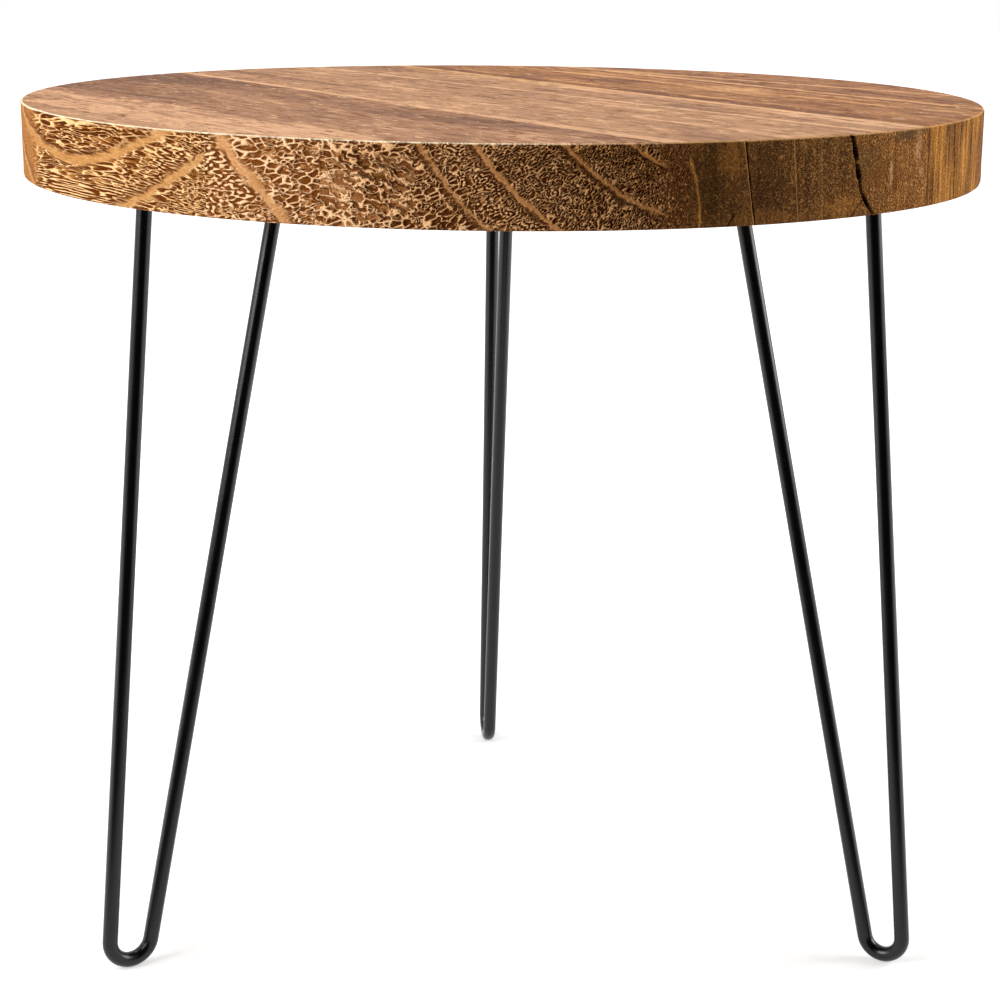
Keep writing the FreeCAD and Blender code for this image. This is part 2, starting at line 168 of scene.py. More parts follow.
# Winding ridges across the grain; the two coordinates lie in the end grain's plane
def winding(vector, scale, frequency):
    parts = separate(vector)
    return Value(addNode(vector.tree, "ShaderNodeTexGabor", {"gabor_type": "2D"},
                         Vector=combine(parts[1], parts[2], 0.0), Scale=scale, Frequency=frequency,
                         Anisotropy=0.0).outputs["Value"])


def cellWalls(vector, scale):
    return Value(addNode(vector.tree, "ShaderNodeTexVoronoi", {"feature": "DISTANCE_TO_EDGE"}, Vector=vector,
                         Scale=scale).outputs["Distance"])


def cellDepth(vector, scale):
    return separate(Value(addNode(vector.tree, "ShaderNodeTexVoronoi", Vector=vector,
                                  Scale=scale).outputs["Color"]))[0]


# Thin lines where a soft noise passes its middle: they wind, run side by side and close to loops
def contour(value, thin, thick):
    return falling(abs(value - 0.5), thin, thick)


def turned(vector, degrees, axis="X_AXIS"):
    return Value(addNode(vector.tree, "ShaderNodeVectorRotate", {"rotation_type": axis}, Vector=vector,
                         Angle=math.radians(degrees)).outputs[0])


def blendColour(factor, first, second, mode="MIX"):
    made = addNode(treeOf(factor, first), "ShaderNodeMix", {"data_type": "RGBA", "blend_type": mode})
    for number, value in ((0, factor), (6, first), (7, second)):
        feed(made.inputs[number], value)
    return Value(made.outputs[2])


def blendValue(factor, first, second):
    if not isinstance(factor, Value):
        return first + (second - first) * factor
    made = addNode(factor.tree, "ShaderNodeMix")
    for number, value in ((0, factor), (2, first), (3, second)):
        feed(made.inputs[number], value)
    return Value(made.outputs[0])


def ramp(value, stops):
    made = value.tree.nodes.new("ShaderNodeValToRGB")
    parts = made.color_ramp.elements
    while len(parts) < len(stops):
        parts.new(0.5)
    for part, stop in zip(parts, stops):
        part.position = stop[0]
    for part, stop in zip(parts, stops):
        part.color = (*stop[1], 1.0)
    feed(made.inputs[0], value)
    return Value(made.outputs[0])


# Screen colour 0..255 to the linear value that nodes take
def paint(red, green, blue):
    return tuple(pow(part / 255, 2.2) for part in (red, green, blue)) + (1.0,)


# Lightens or darkens a colour; the darker, the warmer
warmth = {"green": 1.12, "blue": 1.35}


def shaded(colour, shade):
    warm = combine(shade, calc("POWER", shade, warmth["green"]), calc("POWER", shade, warmth["blue"]))
    return blendColour(1.0, colour, warm, "MULTIPLY")


# A node group; its sockets are listed by kind
def newGroup(name, kind, takes, gives):
    tree = bpy.data.node_groups.new(name, kind)
    for way, sockets in (("INPUT", takes), ("OUTPUT", gives)):
        for form, labels in sockets.items():
            for label in labels:
                tree.interface.new_socket(label, in_out=way, socket_type="NodeSocket" + form)
    given = {socket.name: Value(socket) for socket in tree.nodes.new("NodeGroupInput").outputs}
    return tree, given, tree.nodes.new("NodeGroupOutput").inputs


def placeGroup(tree, group, values):
    made = addNode(tree, "ShaderNodeGroup", {"node_tree": group})
    for label, value in values.items():
        feed(made.inputs[label], value)
    return {socket.name: Value(socket) for socket in made.outputs}


# A Geometry Nodes tree that takes more than its Geometry and Material
def newGeometry(name, takes):
    return newGroup(name, "GeometryNodeTree", {"Geometry": ["Geometry"], "Material": ["Material"], **takes},
                    {"Geometry": ["Geometry"]})


def endGeometry(tree, geometry, given, gives):
    realized = addNode(tree, "GeometryNodeRealizeInstances", Geometry=geometry)
    coated = addNode(tree, "GeometryNodeSetMaterial", Geometry=realized.outputs[0], Material=given["Material"])
    feed(gives["Geometry"], coated.outputs[0])
    return tree


# A modifier's inputs are set by identifier; the result becomes a plain mesh
def applyTree(piece, tree, values):
    modifier = piece.modifiers.new(tree.name, "NODES")
    modifier.node_group = tree
    for socket in tree.interface.items_tree:
        if socket.in_out == "INPUT" and socket.name in values:
            modifier[socket.identifier] = values[socket.name]
    graph = bpy.context.evaluated_depsgraph_get()
    mesh = bpy.data.meshes.new_from_object(piece.evaluated_get(graph))
    piece.modifiers.remove(modifier)
    old = piece.data
    piece.data = mesh
    bpy.data.meshes.remove(old)
    mesh.name = piece.name


def addObject(name, data):
    made = bpy.data.objects.new(name, data)
    bpy.context.scene.collection.objects.link(made)
    return made


def newMaterial(name):
    material = bpy.data.materials.new(name)
    material.use_nodes = True
    tree = material.node_tree
    tree.nodes.clear()
    shader = tree.nodes.new("ShaderNodeBsdfPrincipled")
    addNode(tree, "ShaderNodeOutputMaterial", Surface=shader.outputs[0])
    return material, tree, shader


def addBump(shader, height, strength, distance):
    bump = addNode(height.tree, "ShaderNodeBump", Strength=strength, Distance=distance, Height=height)
    feed(shader.inputs["Normal"], bump.outputs[0])


def attribute(tree, name, output="Fac"):
    return Value(addNode(tree, "ShaderNodeAttribute", {"attribute_name": name}).outputs[output])


def texturePlace(tree, output="Object"):
    return Value(tree.nodes.new("ShaderNodeTexCoord").outputs[output])


# Grain space: x runs along the boards, y across them, z up from the underside
def grainSpace(position):
    return vectorCalc("SUBTRACT", turned(position, -top["grainAngle"], "Z_AXIS"), (0.0, 0.0, top["under"]))


# Distance from the pith, waved a little, and the way round it
ringWaves = {"stretch": (0.12, 1.0, 1.0), "broad": (26.0, 1.0), "fine": (240.0, 1.5), "fineShare": 0.85,
             "wayRound": 0.15}


def ringDistance(grain, pithOffset, pithHeight, wave):
    slow = stretched(grain, ringWaves["stretch"])
    parts = separate(grain)
    across = parts[1] - pithOffset
    above = parts[2] - pithHeight
    radius = calc("SQRT", across * across + above * above)
    broad = noise(slow, *ringWaves["broad"]) - 0.5
    fine = noise(slow, *ringWaves["fine"]) - 0.5
    moved = broad * wave + radius
    moved = fine * (wave * ringWaves["fineShare"]) + moved
    return moved, calc("ARCTAN2", above, across) * ringWaves["wayRound"]


# Rings are listed by their distance from the pith in mm, up to ringSpan in metres
ringSpan = 0.36


def ringRamp(radius, stops):
    share = calc("DIVIDE", radius, ringSpan, clamp=True)
    return separate(ramp(share, [(place / (ringSpan * 1000), colour) for place, colour in stops]))


# A smooth band in the rings, with a row of open pores on its inner side. Red is the band, green the
# coarseness of the pores, blue the tone.
bandEdge = {"rowStart": 4.0, "rowFull": 3.0, "outside": 0.4, "inside": 0.3, "openPores": 0.5}


def band(place, coarseBelow, coarseAbove, tone, width=1.15, poreRow=True):
    low, high = place - width, place + width
    inner = max(coarseBelow, bandEdge["openPores"]) if poreRow else coarseBelow
    row = [(low - bandEdge["rowStart"], (0.0, coarseBelow, tone)), (low - bandEdge["rowFull"], (0.0, inner, tone))]
    return (row if poreRow else []) + [
        (low - bandEdge["outside"], (0.0, inner, tone)),
        (low + bandEdge["inside"], (1.0, inner, tone)),
        (high - bandEdge["inside"], (1.0, coarseAbove, tone)),
        (high + bandEdge["outside"], (0.0, coarseAbove, tone)),
    ]


# Dark, worn-back wood on the outer side of a band
shadowEdge = {"start": 0.2, "fade": 0.4, "level": 0.8, "end": 0.5}


def bandShadow(radius, shadows):
    stops = [(0, 0)]
    for start, end in shadows:
        stops += [(start - shadowEdge["start"], 0), (start + shadowEdge["start"], 1),
                  (end - shadowEdge["fade"], shadowEdge["level"]), (end + shadowEdge["end"], 0)]
    return ringRamp(radius, [(place, (level, 0, 0)) for place, level in stops])[0]


# The five boards. Low and high are their edges across the grain, pith its place across and up, steps the grid
# of the rim at the front and the back. Rings and shadows are mm from the pith; a ring's triple is band,
# coarseness and tone. Rim and deep are the colours of pit, body, ridge and band at either end of the tone; the
# pit colours hold painted shade and the ridge colours a painted highlight. Face is dark, body and light. Lines of
# cracks and rim lines are rows of height and place across. A stain is its place and half size across and up, its
# share and colour. A face line is place across, half width, strength and slope.
boards = {
    "top_board_edge_strip": {
        "low": -0.3125, "high": -0.287, "pith": (-0.174, -0.054), "wave": 0.005, "steps": (0.00043, 0.0008),
        "slot": "wood_edge_strip", "relief": 1.0, "contrast": 1.0, "upright": 0.1, "speck": 0.8,
        "smoothBehind": -0.040,
        "rings": [(0, (0, 0.3, 0.9)), *band(143, 0.3, 0.28, 0.9, 1.6), *band(158, 0.3, 0.5, 0.75, 1.6),
                  (164, (0, 0.5, 0.55)), (360, (0, 0.5, 0.55))],
        "shadows": [(144.7, 146.0), (159.7, 161.0)],
        "rim": [(100, 48, 10), (162, 104, 50), (252, 204, 146), (190, 138, 84)],
        "deep": [(76, 34, 6), (134, 80, 34), (238, 184, 124), (180, 122, 66)],
        "face": [(134, 92, 62), (178, 130, 92), (222, 172, 130)],
        "faceLines": [],
    },
    "top_board_wide": {
        "low": -0.287, "high": -0.0868, "pith": (-0.052, 0.122), "wave": 0.005, "steps": (0.00043, 0.0008),
        "slot": "wood_wide", "relief": 1.0, "contrast": 1.0, "upright": 0.1, "speck": 0.8,
        "sponge": (-0.251, -0.2155), "quiet": (-0.1045, -0.0965), "quietTone": (74, 44, 20), "backTone": -0.8,
        "rings": [(60, (0, 0.05, 0.0)), *band(101, 0.05, 0.08, 0.0), *band(125, 0.1, 0.1, 0.12),
                  *band(158, 0.12, 0.2, 0.3), *band(180, 0.3, 0.5, 0.4), (206, (0, 0.5, 0.55)),
                  (214, (0, 0.45, 0.85)), *band(242, 0.45, 0.26, 0.95, 1.6, False), (300, (0, 0.26, 0.95))],
        "shadows": [(102.3, 103.8), (126.3, 128.6), (159.3, 162.2), (181.3, 183.2), (243.7, 245.0)],
        "rim": [(118, 66, 26), (172, 116, 68), (252, 206, 158), (196, 142, 92)],
        "deep": [(42, 14, 0), (92, 50, 14), (196, 138, 80), (162, 108, 58)],
        "face": [(110, 70, 44), (158, 110, 76), (212, 160, 118)],
        "faceLines": [(-0.266, 0.060, 1.2, 0), (-0.205, 0.006, -0.2, 0), (-0.150, 0.004, 0.25, 0),
                      (-0.117, 0.034, -0.45, -0.028), (-0.0895, 0.0045, 2.6, -0.028), (-0.078, 0.013, 1.5, -0.028)],
    },
    "top_board_middle": {
        "low": -0.0868, "high": 0.0952, "pith": (-0.152, 0.008), "wave": 0.0035, "steps": (0.00043, 0.0008),
        "slot": "wood_middle", "relief": 0.25, "contrast": 0.45, "upright": 1.1, "speck": 3.2,
        "rings": [(60, (0, 0, 0.0)), *band(71.5, 0, 0, 0.1, 0.6, False), (98, (0, 0, 0.12)), (160, (0, 0, 0.2)),
                  (195, (0, 0, 0.6)), (225, (0, 0, 1.0)), (260, (0, 0, 1.0))],
        "shadows": [(72.3, 73.0)],
        "cracks": [
            {"line": [(0.0, 0.0412), (0.004, 0.0384), (0.008, 0.0346), (0.015, 0.0298), (0.021, 0.0285),
                      (0.034, 0.0250), (0.041, 0.0230), (0.047, 0.0210)],
             "width": 0.0015, "depth": 0.016, "jag": 0.0016},
            {"line": [(0.0, -0.0466), (0.020, -0.0500), (0.047, -0.0540)],
             "width": 0.0003, "depth": 0.0012, "jag": 0.0006},
            {"line": [(0.0, 0.0215), (0.004, 0.0255), (0.009, 0.0305)],
             "width": 0.0003, "depth": 0.003, "jag": 0.0006, "high": 0.009},
            {"line": [(0.0, -0.0640), (0.004, -0.0620), (0.006, -0.0600)],
             "width": 0.0003, "depth": 0.002, "jag": 0.0008, "high": 0.006},
        ],
        # light and dark lines up the rim; the first, beside the thin crack above, is a painted highlight on the
        # crack's edge
        "rimLines": [
            {"line": [(0.0, -0.0474), (0.020, -0.0509), (0.047, -0.0550)], "width": 0.0004, "jag": 0.0006,
             "share": 0.5, "colour": (190, 130, 70)},
            {"line": [(0.0, -0.0176), (0.047, -0.0223)], "width": 0.0004, "jag": 0.0008, "share": 0.55,
             "colour": (184, 130, 74)},
            {"line": [(0.0, -0.0168), (0.047, -0.0214)], "width": 0.0003, "jag": 0.0008, "share": 0.5,
             "colour": (40, 20, 6)},
            {"line": [(0.0, 0.0000), (0.047, -0.0030)], "width": 0.0003, "jag": 0.0010, "share": 0.35,
             "colour": (170, 120, 70)},
        ],
        "stains": [
            (-0.074, 0.024, 0.010, 0.040, 0.4, (74, 50, 22)),
            (-0.062, 0.038, 0.008, 0.012, 0.45, (150, 96, 44)),
            (-0.040, 0.026, 0.014, 0.030, 0.45, (56, 34, 12)),
            (0.014, 0.006, 0.022, 0.008, 0.4, (170, 112, 52)),
            (-0.036, 0.003, 0.034, 0.006, 0.4, (138, 90, 44)),
            (0.036, 0.029, 0.010, 0.014, 0.5, (84, 66, 40)),
            (0.070, 0.045, 0.018, 0.006, 0.7, (80, 62, 40)),
            (0.056, 0.022, 0.024, 0.012, 0.45, (112, 68, 28)),
            (0.085, 0.036, 0.005, 0.009, 0.32, (206, 164, 122)),
            (0.088, 0.022, 0.002, 0.004, 0.35, (220, 184, 146)),
            (0.057, 0.024, 0.0016, 0.008, 0.30, (200, 158, 112)),
        ],
        "rim": [(78, 40, 10), (132, 84, 38), (194, 138, 78), (184, 126, 66)],
        "deep": [(36, 20, 4), (73, 47, 20), (140, 98, 54), (168, 112, 54)],
        "face": [(128, 86, 58), (174, 126, 88), (220, 168, 124)],
        "faceLines": [(-0.0895, 0.0045, 2.6, -0.028), (-0.045, 0.005, -0.35, 0), (-0.020, 0.004, 0.4, 0),
                      (0.012, 0.005, -0.3, 0), (0.042, 0.004, 1.3, 0.02), (0.0955, 0.0055, 2.0, -0.028),
                      (0.088, 0.012, 0.5, -0.028)],
    },
    "top_board_narrow": {
        "low": 0.0952, "high": 0.2030, "pith": (-0.130, 0.020), "wave": 0.003, "steps": (0.00043, 0.0008),
        "slot": "wood_narrow", "relief": 0.3, "contrast": 0.35, "upright": 3.4, "speck": 1.8,
        "rings": [(200, (0, 0, 0.4)), (226, (0, 0, 0.4)), (250, (0, 0, 0.6)), (262, (0, 0, 0.9)), (300, (0, 0, 1.0))],
        "shadows": [],
        "cracks": [
            {"line": [(0.0, 0.1342), (0.024, 0.1325), (0.047, 0.1305)], "width": 0.0004, "depth": 0.0024,
             "jag": 0.0008},
        ],
        "rim": [(110, 62, 14), (186, 128, 60), (224, 168, 100), (190, 134, 78)],
        "deep": [(76, 38, 4), (142, 90, 32), (190, 134, 66), (160, 108, 58)],
        "face": [(112, 66, 34), (160, 106, 62), (214, 158, 102)],
        "faceLines": [(0.0955, 0.0055, 2.0, -0.028), (0.108, 0.008, -0.8, -0.028), (0.122, 0.004, 0.6, 0),
                      (0.150, 0.006, -0.35, 0), (0.176, 0.005, 0.9, 0)],
    },
    "top_board_outer": {
        "low": 0.2030, "high": 0.3125, "pith": (-0.020, 0.060), "wave": 0.004, "steps": (0.0007, 0.0008),
        "slot": "wood_outer", "relief": 0.5, "contrast": 0.5, "upright": 1.2, "speck": 1.2,
        "rings": [(200, (0, 0.1, 0.5)), (240, (0, 0.1, 0.6)), (280, (0, 0.1, 0.4)), (320, (0, 0.1, 0.6))],
        "shadows": [],
        "rim": [(104, 60, 22), (164, 108, 54), (204, 150, 88), (184, 130, 80)],
        "deep": [(90, 50, 18), (146, 92, 44), (186, 132, 74), (160, 108, 60)],
        "face": [(106, 64, 34), (156, 104, 64), (208, 152, 104)],
        "faceLines": [(0.2036, 0.0030, -2.2, 0), (0.214, 0.006, 1.3, 0), (0.250, 0.005, 1.8, 0.19),
                      (0.240, 0.006, -0.3, 0)],
    },
}


# A board before brushing: a fine grid round its rim, flat faces and straight joint edges
cut = {"closeAngle": 0.001, "cornerAngle": 0.01, "rimInset": 0.0005, "arrisInset": 0.0015, "longEdge": 0.1}


def rimAngles(low, high, steps):
    radius = top["radius"]
    near = math.acos(max(-1.0, min(1.0, high / radius)))
    far = math.acos(max(-1.0, min(1.0, low / radius)))
    if far > math.pi - cut["closeAngle"]:
        return [(near, 2 * math.pi - near, steps[0])]
    if near < cut["closeAngle"]:
        return [(-far, far, steps[0])]
    return [(near, far, steps[0]), (2 * math.pi - far, 2 * math.pi - near, steps[1])]


def rimRows(step):
    thick = top["thickness"]
    first = top["arrisRows"][-1][1]
    count = round((thick - 2 * first) / step)
    rows = list(top["arrisRows"])
    rows += [(0.0, first + (thick - 2 * first) * row / count) for row in range(1, count)]
    return rows + [(inset, thick - height) for inset, height in reversed(top["arrisRows"])]


def blankBoard(name, low, high, steps):
    radius = top["radius"]
    grain = math.radians(top["grainAngle"])
    along = Vector((math.cos(grain), math.sin(grain), 0))
    across = Vector((-math.sin(grain), math.cos(grain), 0))
    points, faces, shares, arcs = [], [], [], []
    for start, end, step in rimAngles(low, high, steps):
        rows = rimRows(step)
        columns = max(2, round((end - start) * radius / step))
        grid = []
        for column in range(columns + 1):
            angle = start + (end - start) * column / columns
            line = []
            for inset, height in rows:
                reach = radius - inset
                offset = reach * math.cos(angle)
                length = reach * math.sin(angle)
                if column in (0, columns) and abs(math.sin(angle)) > cut["cornerAngle"]:
                    offset = radius * math.cos(angle)
                    length = math.copysign(math.sqrt(max(reach * reach - offset * offset, 0)), math.sin(angle))
                line.append(len(points))
                points.append(across * offset + along * length + Vector((0, 0, top["under"] + height)))
                shares.append(1.0 if inset < cut["rimInset"] else (0.5 if inset < cut["arrisInset"] else 0.0))
            grid.append(line)
        arcs.append(grid)
        for left, right in zip(grid, grid[1:]):
            for row in range(len(rows) - 1):
                faces.append((left[row], left[row + 1], right[row + 1], right[row]))
    for row in (0, -1):
        faces.append([line[row] for grid in arcs for line in grid])
    # the straight joint faces run from the end of one arc to the start of the next
    for grid, after in zip(arcs, arcs[1:] + arcs[:1]):
        faces.append(grid[-1] + after[0][::-1])
    mesh = bpy.data.meshes.new(name)
    mesh.from_pydata([tuple(point) for point in points], [], faces)
    mesh.attributes.new("rimShare", "FLOAT", "POINT").data.foreach_set("value", shares)
    work = bmesh.new()
    work.from_mesh(mesh)
    bmesh.ops.recalc_face_normals(work, faces=work.faces)
    longEdges = [edge for edge in work.edges if edge.calc_length() > cut["longEdge"]]
    bmesh.ops.bevel(work, geom=longEdges, offset=top["jointBevel"], segments=1, affect="EDGES")
    work.to_mesh(mesh)
    work.free()
    return addObject(name, mesh)


# Pore relief of the brushed end grain: 1 on a ridge, 0 in a pit. Coarseness picks its kind:
# fine lines, winding ridges, cells between thin membranes, or a spongy net drawn out on the slant.
pores = {"Coarse Size": 0.0056, "Medium Size": 0.0033, "Fine Size": 0.0020, "Grain Stretch": 8.0}
# where each form starts and ends, and its size as a share of the size above
poreForms = {
    "bend": (240.0, 1.0), "bendReach": 0.0020, "ring": 0.80, "wayRound": 1.45, "frequency": 2.2, "tilt": 27.0,
    "loopShare": 1.7, "loops": (0.02, 0.11), "threadShare": 1.05, "threads": (0.0, 0.12), "curls": (0.43, 0.60),
    "curlShare": 0.6, "foamShare": 0.95, "foam": (0.03, 0.19), "membranes": (0.01, 0.08), "membraneShare": 0.5,
    "lines": (0.50, 0.68, 0.0, 0.8), "patch": (95.0, 1.0), "patchEdge": (0.42, 0.58),
    "fineToCurly": (0.12, 0.20), "curlyToCells": (0.33, 0.45), "cellsToSponge": (0.6, 0.95),
}
sponge = {
    "bendReach": 0.006, "slant": 30.0, "stretch": (1.0, 0.42, 1.25), "fineReach": 0.0012,
    "walls": (0.01, 0.10), "floor": (0.35, 1.0, 0.0, 0.30, "LINEAR"),
    "folds": ((1.0, 0.25, 1.6), 330.0, 1.5), "foldEdge": (0.40, 0.68, 0.0, 0.42),
    "creases": ((1.0, 0.30, 1.5), 230.0, 0.5), "creaseEdge": (0.0, 0.05), "creaseShare": 0.75,
    "edgeWander": (110.0, 1.0), "edgeReach": 0.03, "edge": (0.0165, 0.0185), "boxShare": 0.6,
}


def pushed(vector, push, reach):
    return vectorCalc("MULTIPLY_ADD", push, (reach, reach, reach), vector)


def poreRelief(grain, ring, wayRound, coarse, sizes):
    forms = poreForms
    parts = separate(grain)
    along = parts[0] / sizes["Grain Stretch"]
    drawn = combine(along, parts[1], parts[2])
    push = vectorCalc("SUBTRACT", noise(drawn, *forms["bend"], output="Color"), (0.5, 0.5, 0.5))
    # ridges and cells are drawn out toward the pith
    ringed = combine(along, ring * forms["ring"], wayRound * forms["wayRound"])
    ringed = pushed(ringed, push, forms["bendReach"])
    frequency = forms["frequency"]
    waves = winding(ringed, 1.0 / frequency / sizes["Fine Size"], frequency)
    slowWaves = winding(ringed, 1.0 / frequency / sizes["Medium Size"], frequency)
    membranes = contour(slowWaves, *forms["membranes"])
    tilted = turned(ringed, forms["tilt"])
    loopScale = forms["loopShare"] / sizes["Medium Size"]
    loops = contour(noise(tilted, loopScale, 0.0), *forms["loops"])
    threadScale = forms["threadShare"] / sizes["Fine Size"]
    threads = contour(noise(tilted, threadScale, 0.0), *forms["threads"])
    choice = smooth(noise(drawn, *forms["patch"]), *forms["patchEdge"])
    curls = smooth(waves, *forms["curls"])
    curly = blendValue(choice, curls, larger(loops, curls * forms["curlShare"]))
    foamScale = forms["foamShare"] / sizes["Medium Size"]
    foam = falling(cellWalls(ringed, foamScale), *forms["foam"])
    cells = blendValue(choice, foam, larger(loops, membranes * forms["membraneShare"]))
    fine = larger(threads, smooth(waves, *forms["lines"]))
    # the sponge: long hollows on the slant, folded inside, with rings and boxes along its edges
    slant = turned(pushed(drawn, push, sponge["bendReach"]), sponge["slant"])
    hollow = pushed(stretched(slant, sponge["stretch"]), push, sponge["fineReach"])
    coarseScale = 1.0 / sizes["Coarse Size"]
    walls = falling(cellWalls(hollow, coarseScale), *sponge["walls"])
    floor = smooth(cellDepth(hollow, coarseScale), *sponge["floor"])
    fold = smooth(layer(slant, *sponge["folds"]), *sponge["foldEdge"])
    crease = contour(layer(slant, *sponge["creases"]), *sponge["creaseEdge"])
    fold = larger(fold, crease * sponge["creaseShare"])
    net = larger(walls, floor + fold)
    fromMiddle = abs(parts[2] - top["thickness"] / 2)
    wander = (noise(drawn, *sponge["edgeWander"]) - 0.5) * sponge["edgeReach"]
    rimward = smooth(fromMiddle + wander, *sponge["edge"])
    boxes = larger(foam, loops * sponge["boxShare"])
    spongy = blendValue(rimward, net, boxes)
    ridge = blendValue(smooth(coarse, *forms["fineToCurly"]), fine, curly)
    ridge = blendValue(smooth(coarse, *forms["curlyToCells"]), ridge, cells)
    return blendValue(smooth(coarse, *forms["cellsToSponge"]), ridge, spongy)


# Zones of the rim: a smooth side, a quiet zone beside a joint and a sponge. The last two lie at the
# front, where the place along the grain is above zero.
zones = {
    "front": (0.0, 0.01), "quietShare": 0.55, "quietNoise": (150.0, 2.0), "quietReach": 0.008,
    "smoothWidth": 0.030, "smoothShare": 0.12, "spongeOutside": 0.002, "spongeInside": 0.001,
}


# How far the rim is brushed out
def brushing(parts, board):
    worked = 1.0 - quietZone(parts, board) * zones["quietShare"]
    if "smoothBehind" in board:
        end = board["smoothBehind"]
        worked = worked * smooth(parts[0], end - zones["smoothWidth"], end, zones["smoothShare"], 1.0)
    return worked


def quietZone(parts, board):
    if "quiet" not in board:
        return 0.0
    ragged = noise(combine(0.0, parts[1], parts[2]), *zones["quietNoise"]) - 0.5
    ragged = ragged * zones["quietReach"] + parts[1]
    return smooth(ragged, *board["quiet"]) * smooth(parts[0], *zones["front"])


def coarseness(parts, coarse, board):
    if "sponge" not in board:
        return coarse
    low, high = board["sponge"]
    outside, inside = zones["spongeOutside"], zones["spongeInside"]
    within = smooth(parts[1], low - outside, low + inside) * falling(parts[1], high - inside, high + outside)
    return larger(coarse, within * smooth(parts[0], *zones["front"]))


# A wandering line up the rim, for cracks and for light and dark rim lines: 1 inside it
crackForm = {
    "wander": (260.0, 2.0), "uneven": (90.0, 1.0), "unevenPlace": 0.3,
    "unevenWidth": (0.25, 0.75, 0.45, 1.5, "LINEAR"),
    "core": 0.75, "soft": 0.00015, "end": 0.001,
}


def crackMask(parts, crack):
    height = parts[2]
    places = crack["line"]
    centre = places[0][1]
    for (low, here), (high, there) in zip(places, places[1:]):
        centre = smooth(height, low, high, 0.0, there - here, "LINEAR") + centre
    wander = noise(combine(0.0, places[0][1], height), *crackForm["wander"]) - 0.5
    centre = wander * crack["jag"] + centre
    gap = abs(parts[1] - centre)
    uneven = noise(combine(0.0, height, crackForm["unevenPlace"]), *crackForm["uneven"])
    half = smooth(uneven, *crackForm["unevenWidth"]) * crack["width"]
    mask = falling(gap, half * crackForm["core"], half + crackForm["soft"])
    mask = mask * smooth(parts[0], *zones["front"])
    if "high" in crack:
        mask = mask * falling(height, crack["high"], crack["high"] + crackForm["end"])
    return mask


# Rings, pores and bands as the rim's relief and its colour both need them
def rimPattern(parts, distance, board):
    bandMask, coarse, tone = ringRamp(distance, board["rings"])
    shown = 1.0 - quietZone(parts, board)
    shadow = bandShadow(distance, board["shadows"]) * shown
    return bandMask * shown, shadow, coarseness(parts, coarse, board), tone


# Geometry Nodes that brush the rim: soft wood worn back between harder ridges, cracks and chips
brush = {**pores, "Coarse Depth": 0.0017, "Fine Depth": 0.0009, "Chip Depth": 0.0007}
wear = {
    "shadowShare": 0.85, "shadowRidge": 0.3, "broad": (60.0, 2.0), "broadDepth": (0.3, 0.7, 0.0, 0.0004, "LINEAR"),
    "chips": (170.0, 2.0), "chipEdge": (0.60, 0.70), "arrisPeak": 4.0,
}


def buildRimTree(name, board):
    tree, given, gives = newGeometry("brushedRim_" + name, {"Float": brush})
    position = Value(tree.nodes.new("GeometryNodeInputPosition").outputs[0])
    grain = grainSpace(position)
    distance, wayRound = ringDistance(grain, *board["pith"], board["wave"])
    parts = separate(grain)
    bandMask, shadow, coarse, _ = rimPattern(parts, distance, board)
    ridge = poreRelief(grain, distance, wayRound, coarse, given)
    ridge = blendValue(shadow * wear["shadowShare"], ridge, wear["shadowRidge"])
    openShare = brushing(parts, board) * board["relief"]
    depth = blendValue(coarse, given["Fine Depth"], given["Coarse Depth"])
    pits = (1.0 - ridge) * ((1.0 - bandMask) * openShare)
    broad = smooth(noise(grain, *wear["broad"]), *wear["broadDepth"])
    sink = pits * depth + broad

    radial = vectorCalc("NORMALIZE", stretched(position, (1.0, 1.0, 0.0)))
    rim = Value(addNode(tree, "GeometryNodeInputNamedAttribute", {"data_type": "FLOAT"}, Name="rimShare").outputs[0])
    arris = rim * (1.0 - rim) * wear["arrisPeak"]
    chip = smooth(noise(position, *wear["chips"]), *wear["chipEdge"])
    sink = chip * arris * given["Chip Depth"] + sink * rim
    for crack in board.get("cracks", []):
        sink = larger(sink, crackMask(parts, crack) * crack["depth"])

    # the uncut place rides along for the material, so its pores meet these
    store = addNode(tree, "GeometryNodeStoreNamedAttribute", {"data_type": "FLOAT_VECTOR", "domain": "POINT"},
                    Geometry=given["Geometry"], Name="place", Value=position)
    inward = addNode(tree, "ShaderNodeVectorMath", {"operation": "SCALE"}, Vector=radial, Scale=sink * -1.0)
    moved = addNode(tree, "GeometryNodeSetPosition", Geometry=store.outputs[0], Offset=inward.outputs[0])
    return endGeometry(tree, moved.outputs[0], given, gives)


# Shader groups

def buildRingGroup():
    tree, given, gives = newGroup(
        "growthRings", "ShaderNodeTree", {"Vector": ["Position"], "Float": ["Pith Offset", "Pith Height", "Wave"]},
        {"Vector": ["Grain"], "Float": ["Ring Distance", "Way Round"]},
    )
    grain = grainSpace(given["Position"])
    distance, wayRound = ringDistance(grain, given["Pith Offset"], given["Pith Height"], given["Wave"])
    feed(gives["Grain"], grain)
    feed(gives["Ring Distance"], distance)
    feed(gives["Way Round"], wayRound)
    return tree


def buildPoreGroup():
    tree, given, gives = newGroup(
        "brushedPores", "ShaderNodeTree",
        {"Vector": ["Grain"], "Float": ["Ring Distance", "Way Round", "Coarseness", *pores]}, {"Float": ["Ridge"]},
    )
    ridge = poreRelief(given["Grain"], given["Ring Distance"], given["Way Round"], given["Coarseness"], given)
    feed(gives["Ridge"], ridge)
    return tree


